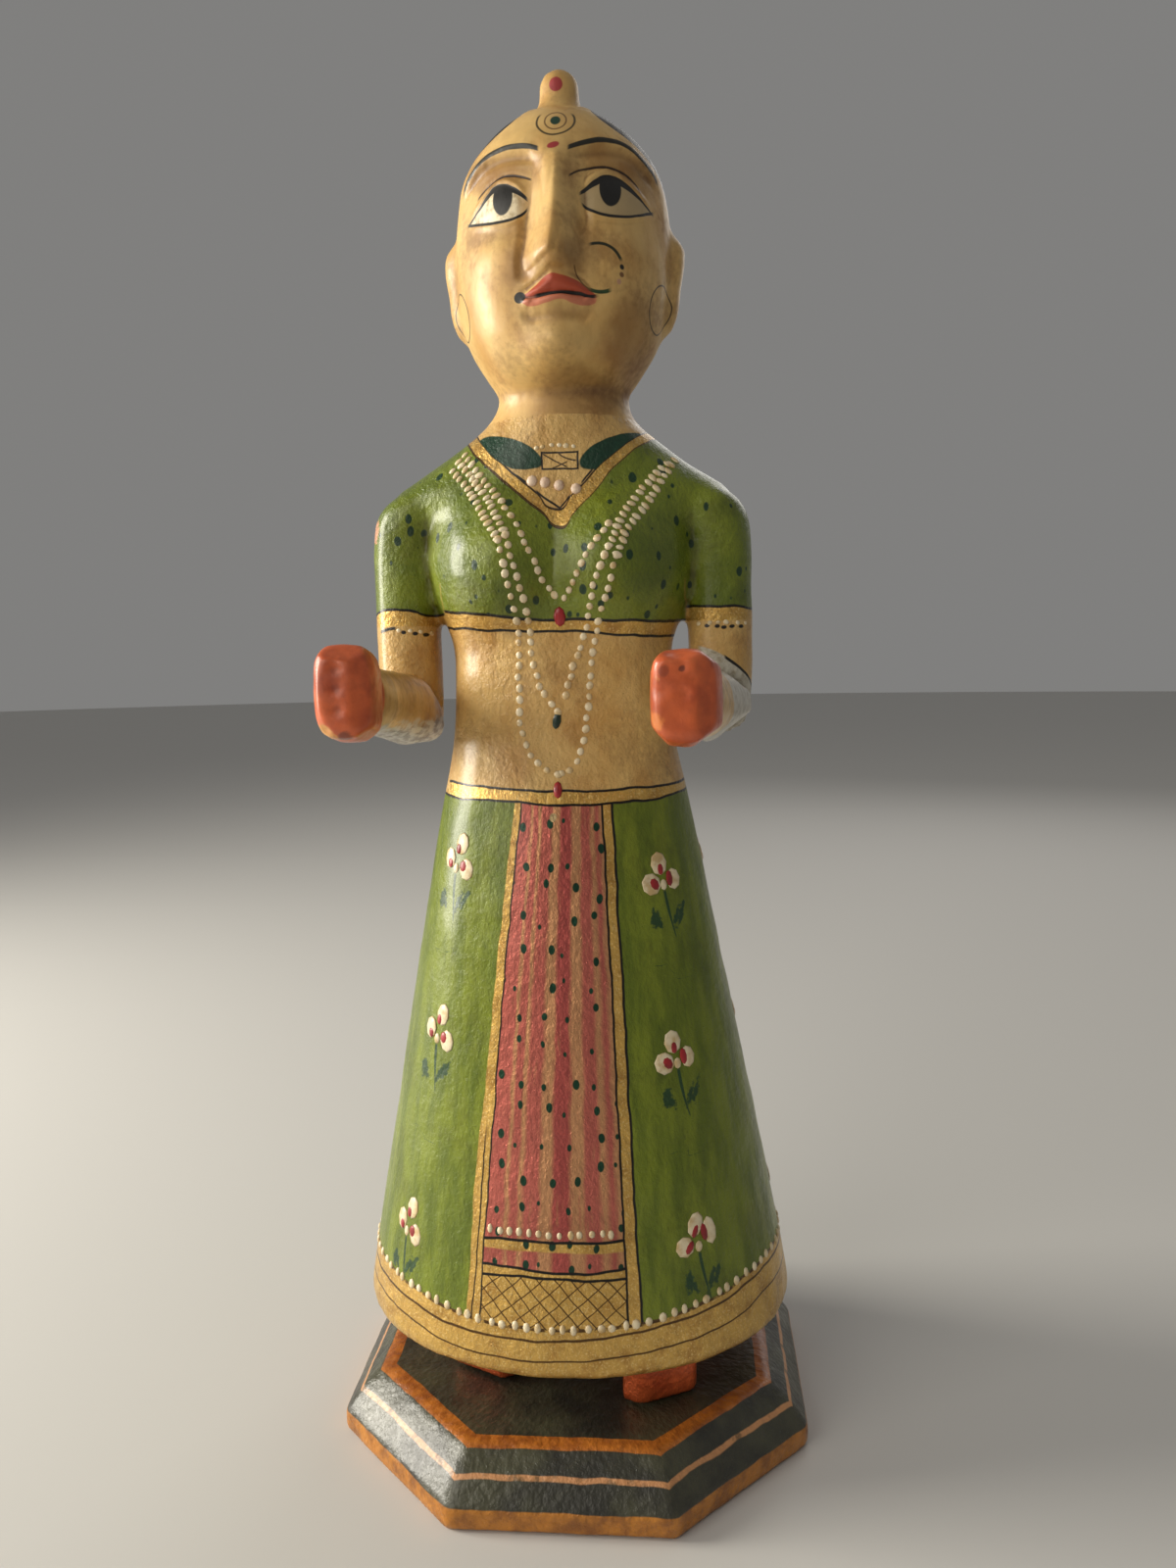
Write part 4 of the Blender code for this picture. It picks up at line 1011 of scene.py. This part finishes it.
# the heights from which the head and the bodice are painted
HEAD_FROM = 187.5
BODICE_FROM = 120.6
for material in (face_paint(), bodice_paint(), skirt_paint()):
    figure.data.materials.append(material)
for face in figure.data.polygons:
    height = face.center.z / MM
    face.material_index = 0 if height > HEAD_FROM else 1 if height > BODICE_FROM else 2
left_forearm.data.materials.append(forearm_paint("left_forearm_paint", -1))
right_forearm.data.materials.append(forearm_paint("right_forearm_paint", 1))
plinth.data.materials.append(plinth_paint())

# the flowers: turn in degrees round the skirt and height of each one's middle
FLOWERS = [(-55.5, 107.3), (-53.9, 76.4), (-56.5, 40.6), (50.2, 104.4), (45.0, 73.2), (43.6, 41.5)]
FLOWERS += [(turn, height) for turn in (97, 149, 201, 253) for height in (106.0, 75.0, 41.0)]
SKIRT_TOP = 121
FAR = (99.0, 99.0)


def mark_flowers(piece):
    """Gives each point of the skirt its place from the nearest flower, across and up, in mm."""
    values = []
    for vertex in piece.data.vertices:
        x, y, z = vertex.co / MM
        nearest = FAR
        if z <= SKIRT_TOP:
            radius = math.hypot(x, y)
            turn = math.degrees(math.atan2(x, -y))
            places = [(math.radians((turn - at + 180) % 360 - 180) * radius, z - height)
                      for at, height in FLOWERS]
            nearest = min(places, key=lambda place: abs(place[0]) + abs(place[1]))
        values.extend((*nearest, 0.0))
    attribute = piece.data.attributes.new("flower", "FLOAT_VECTOR", "POINT")
    attribute.data.foreach_set("vector", values)


mark_flowers(figure)

# beads, petals and drops of thick paint
surface = BVHTree.FromPolygons([vertex.co.copy() for vertex in figure.data.vertices],
                               [tuple(face.vertices) for face in figure.data.polygons])
dice = random.Random(7)
UP = Vector((0, 0, 1))
ACROSS = Vector((1, 0, 0))
# how far out the search for the surface starts, ahead of the doll and beside its skirt
START_AHEAD = 80
START_BESIDE = 60


def uneven(most):
    """A chance shift of up to this much either way."""
    return dice.uniform(-most, most)


def drop_mesh():
    """A low round drop of paint, 1 across and half as high, flat side down at the origin."""
    deselect()
    bpy.ops.mesh.primitive_uv_sphere_add(segments=8, ring_count=6, radius=0.5)
    bpy.ops.object.mode_set(mode="EDIT")
    bpy.ops.mesh.select_all(action="SELECT")
    bpy.ops.mesh.bisect(plane_co=(0, 0, -0.12), plane_no=(0, 0, 1), clear_inner=True, use_fill=True)
    bpy.ops.object.mode_set(mode="OBJECT")
    bpy.ops.object.shade_smooth()
    return bpy.context.object


drop = drop_mesh()


def on_front(x, z):
    """Where the front of the doll is at this x and height, and which way it faces."""
    return surface.ray_cast(Vector((x, -START_AHEAD, z)) * MM, Vector((0, 1, 0)))[:2]


def on_skirt(turn, z):
    """Where the skirt is at this turn and height, and which way it faces."""
    angle = math.radians(turn)
    out = Vector((math.sin(angle), -math.cos(angle), 0))
    start = out * START_BESIDE * MM
    start.z = z * MM
    return surface.ray_cast(start, -out)[:2]


def laid(point, normal, along, length, width, height):
    """Matrix that lays a drop on the surface, its length along a direction."""
    along = (along - normal * along.dot(normal)).normalized()
    side = normal.cross(along)
    turned = Matrix((along, side, normal)).transposed().to_4x4()
    sized = Matrix.Diagonal((length * MM, width * MM, height * 2 * MM, 1.0))
    return Matrix.Translation(point) @ turned @ sized


def scatter(name, spots, material):
    """Copies of the drop, each laid at its spot, joined into one piece."""
    deselect()
    copies = []
    for matrix in spots:
        copy = bpy.data.objects.new(name, drop.data.copy())
        copy.data.transform(matrix)
        bpy.context.scene.collection.objects.link(copy)
        copy.select_set(True)
        copies.append(copy)
    bpy.context.view_layer.objects.active = copies[0]
    bpy.ops.object.join()
    piece = bpy.context.object
    piece.name = name
    piece.data.materials.clear()
    piece.data.materials.append(material)
    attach(piece, "root")


def strand(points, count, length, width, height, across=False):
    """Spots of beads spaced along a line of points on the front."""
    gaps = [math.dist(a, b) for a, b in zip(points, points[1:])]
    total = sum(gaps)
    spots = []
    for number in range(count):
        run = total * (number + uneven(0.12)) / max(1, count - 1)
        run = min(max(run, 0.0), total)
        index = 0
        while index < len(gaps) - 1 and run > gaps[index]:
            run -= gaps[index]
            index += 1
        (ax, az), (bx, bz) = points[index], points[index + 1]
        share = run / gaps[index]
        point, normal = on_front(ax + (bx - ax) * share + uneven(0.15), az + (bz - az) * share)
        if point is None:
            continue
        way = Vector((az - bz, 0, bx - ax)) if across else Vector((bx - ax, 0, bz - az))
        way.rotate(Matrix.Rotation(uneven(0.35), 3, "Y"))
        size = dice.uniform(0.85, 1.15)
        spots.append(laid(point, normal, way, length * size, width * size, height))
    return spots


# strings of drops as places across and heights, with the count of each: long drops laid across the upper
# strings, rounder ones on the lower, and small ones below the sleeves and over the clasp
UPPER_STRINGS = (([(-19.5, 178.8), (-15.2, 173.6), (-12.1, 168.6), (-10.1, 165.4)], 15),
                 ([(-18.6, 180.6), (-14.2, 175.2), (-11.5, 171.4), (-8.8, 166.2)], 16),
                 ([(-17.3, 181.7), (-13.9, 177), (-10, 172.5)], 10),
                 ([(20.4, 180), (15.6, 171.5), (12.2, 167), (10.5, 162.3)], 17),
                 ([(18.9, 179), (14.7, 174.3), (11.4, 169.4), (9.1, 163.8)], 16))
LOWER_STRINGS = (([(-10.1, 165.4), (-9.2, 161.1), (-8, 155.4), (-7.4, 150.8), (-7.6, 140.9),
                   (-7.4, 133.3), (-5.8, 128.1), (-2.9, 125.2), (-0.6, 124.4)], 23),
                 ([(-8.8, 166.2), (-7.5, 161), (-6, 155.4), (-5.2, 150), (-5, 144.4), (-3.6, 139.4),
                   (-0.7, 135.4)], 18),
                 ([(-10, 172.5), (-7, 168), (-4.3, 162.5), (-3.1, 159.1), (-0.5, 155.7)], 12),
                 ([(10.5, 162.3), (8.7, 156.7), (6.9, 151.5), (5.4, 144.2), (5, 138), (4.3, 132.9),
                   (3.3, 127.4), (1.5, 125.1), (-0.2, 124.6)], 22),
                 ([(9.1, 163.8), (6.1, 156.7), (4.8, 150.2), (2.3, 143.3), (0.8, 138.3)], 16),
                 ([(9, 167.8), (4.9, 162.1), (2, 156.7), (0.9, 155.3)], 10))
SMALL_STRINGS = (([(-30.8, 150.5), (-27.5, 150.3), (-25.2, 149.9)], 4),
                 ([(24.6, 150.7), (28.5, 150.9), (33, 150.7)], 6),
                 ([(-3.9, 181.8), (-0.8, 182.3), (2.8, 181.9)], 6))
necklace = []
for points, count in UPPER_STRINGS:
    necklace += strand(points, count, 1.75, 1.05, 0.34, across=True)
for points, count in LOWER_STRINGS:
    necklace += strand(points, count, 1.5, 1.3, 0.34)
for points, count in SMALL_STRINGS:
    necklace += strand(points, count, 1.0, 0.85, 0.22)
cream_drops = thick_paint("cream_drops", CREAM, paint(206, 176, 122))
scatter("necklace_beads", necklace, cream_drops)
choker = [laid(*on_front(x, z), ACROSS, 2.0, 2.2, 0.55)
          for x, z in ((-4.7, 176.0), (-2.4, 175.7), (0.1, 175.1), (3.1, 174.4))]
scatter("choker_beads", choker, thick_paint("pearl_drops", paint(232, 206, 180), paint(200, 160, 130)))

# pearls round the hem and one row across the panel
HEM_BEADS = 98
HEM_RADIUS = 39.5
ROW_BEADS = 13
ROW_START, ROW_LENGTH, ROW_HEIGHT = -13.1, 21.6, 45.7
hem = []
for number in range(HEM_BEADS):
    turn = (number + uneven(0.15)) * 360 / HEM_BEADS
    height = height_on(HEM_TOP, HEM_RADIUS * math.sin(math.radians(turn)))
    place = on_skirt(turn, height + uneven(0.15))
    hem.append(laid(*place, UP, dice.uniform(1.4, 1.9), dice.uniform(1.1, 1.6), 0.34))
for number in range(ROW_BEADS):
    x = ROW_START + number * ROW_LENGTH / (ROW_BEADS - 1) + uneven(0.25)
    place = on_front(x, ROW_HEIGHT + uneven(0.15))
    hem.append(laid(*place, UP, dice.uniform(1.3, 1.8), dice.uniform(0.9, 1.2), 0.3))
scatter("hem_beads", hem, cream_drops)

# each petal: across and up from the flower's middle, its lean, length and width, then its heart's place,
# length and width
LEFT_PETALS = ((1.0, 4.3, -8, 4.0, 2.8, 0.3, 3.4, 2.1, 1.4), (-2.0, 1.5, 6, 3.9, 2.7, -1.6, 0.7, 2.0, 1.4),
               (2.8, -0.2, 10, 3.9, 2.9, 2.0, 0.3, 2.2, 1.8))
RIGHT_PETALS = ((-0.5, 3.6, 6, 4.1, 3.0, -0.4, 2.7, 2.4, 1.3), (-2.9, 0.1, 34, 3.9, 3.4, -2.3, 0.1, 2.5, 1.9),
                (2.5, 0.6, 6, 3.7, 2.7, 1.5, 0.8, 3.0, 1.5))
LOW_PETALS = ((-0.2, 3.6, -22, 4.2, 2.7, -0.5, 2.6, 2.6, 1.2),
              (-3.1, 0.2, -40, 3.5, 3.2, -2.2, 0.0, 2.6, 1.5),
              (2.9, 2.0, 8, 4.8, 2.4, 1.5, 2.0, 3.2, 1.4))
PETAL_STRETCH = (1.06, 1.16)
# how far out the skirt is near its lowest flowers, at what height, and how much narrower for each mm above
FLOWER_RADIUS, FLOWER_ROW, SKIRT_SLOPE = 38.2, 44.8, 0.2
KINDS = (LEFT_PETALS,) * 3 + (RIGHT_PETALS,) * 2 + (LOW_PETALS,)
petals = []
hearts = []
for number, (turn, height) in enumerate(FLOWERS):
    radius = FLOWER_RADIUS - (height - FLOWER_ROW) * SKIRT_SLOPE
    kind = KINDS[number % len(KINDS)]
    for across, up, lean, length, width, heart_across, heart_up, heart_length, heart_width in kind:
        point, normal = on_skirt(turn + math.degrees(across / radius), height + up)
        way = UP.copy()
        way.rotate(Matrix.Rotation(math.radians(lean + uneven(4)), 3, normal))
        petals.append(laid(point, normal, way, length * PETAL_STRETCH[0], width * PETAL_STRETCH[1], 0.26))
        low, normal = on_skirt(turn + math.degrees(heart_across / radius), height + heart_up)
        hearts.append(laid(low + normal * 0.14 * MM, normal, way, heart_length, heart_width, 0.2))
    petals.append(laid(*on_skirt(turn, height - 0.2), UP, 2.0, 1.5, 0.24))
scatter("flower_petals", petals, cream_drops)
red_drops = thick_paint("red_drops", RED, paint(130, 26, 30))
scatter("flower_hearts", hearts, red_drops)
pendants = [laid(*on_front(x, z), UP, length, width, 0.5)
            for x, z, length, width in ((0.1, 152.1, 3.6, 2.2), (-0.7, 121.7, 3.2, 1.6))]
scatter("red_pendants", pendants, red_drops)
scatter("green_pendant", [laid(*on_front(-0.8, 133.9), Vector((0.2, 0, 1)), 3.2, 1.6, 0.4)],
        thick_paint("green_drops", DARK_GREEN, paint(14, 40, 30)))
bpy.data.objects.remove(drop)

# floor, lights and camera
deselect()
bpy.ops.mesh.primitive_circle_add(vertices=96, radius=4.0, fill_type="NGON", location=(0, 0, 0))
floor = bpy.context.object
floor.name = "floor"
pale = bpy.data.materials.new("pale_floor")
pale.use_nodes = True
pale.node_tree.nodes["Principled BSDF"].inputs["Base Color"].default_value = paint(204, 202, 198)
pale.node_tree.nodes["Principled BSDF"].inputs["Roughness"].default_value = 0.8
floor.data.materials.append(pale)


CHEST = Vector((0, 0, 0.13))
ROOM_STRENGTH = 0.27


def soft_light(name, place, wide, tall, power, colour):
    """A rectangular light, wide and tall in metres, turned to the doll's chest."""
    data = bpy.data.lights.new(name, "AREA")
    data.shape = "RECTANGLE"
    data.size = wide
    data.size_y = tall
    data.energy = power
    data.color = colour
    light = bpy.data.objects.new(name, data)
    bpy.context.scene.collection.objects.link(light)
    light.location = place
    light.rotation_euler = (CHEST - Vector(place)).to_track_quat("-Z", "Y").to_euler()


soft_light("window", (-0.66, 0.0, 0.29), 0.26, 0.42, 6.2, (1.0, 0.95, 0.84))
soft_light("room", (-0.62, -0.66, 0.5), 0.7, 0.7, 3.6, (1.0, 0.94, 0.84))
soft_light("back", (0.3, 0.7, 0.6), 0.5, 0.5, 1.2, (1.0, 0.97, 0.93))
world = bpy.data.worlds.new("room")
bpy.context.scene.world = world
world.use_nodes = True
world.node_tree.nodes["Background"].inputs["Color"].default_value = (0.8, 0.79, 0.77, 1.0)
world.node_tree.nodes["Background"].inputs["Strength"].default_value = ROOM_STRENGTH
bpy.context.scene.view_settings.view_transform = "Standard"

# the photo's camera: a phone's main lens, a little above the chest and tilted down
CAMERA_PLACE = Vector((3.3, -216.0, 145.0)) * MM
CAMERA_TURN = math.radians(4.6)
CAMERA_DIP = math.radians(6.4)
CAMERA_ROLL = math.radians(1.0)
# in the photo's pixels
FOCAL_LENGTH = 1155
PHOTO_HEIGHT = 1600
lens = bpy.data.cameras.new("camera")
lens.sensor_width = 36.0
lens.lens = lens.sensor_width * FOCAL_LENGTH / PHOTO_HEIGHT
lens.clip_start = 0.01
camera = bpy.data.objects.new("camera", lens)
bpy.context.scene.collection.objects.link(camera)
level = Matrix.Rotation(math.radians(90) - CAMERA_DIP, 4, "X") @ Matrix.Rotation(-CAMERA_ROLL, 4, "Z")
camera.matrix_world = Matrix.Rotation(CAMERA_TURN, 4, "Z") @ Matrix.Translation(CAMERA_PLACE) @ level
bpy.context.scene.camera = camera
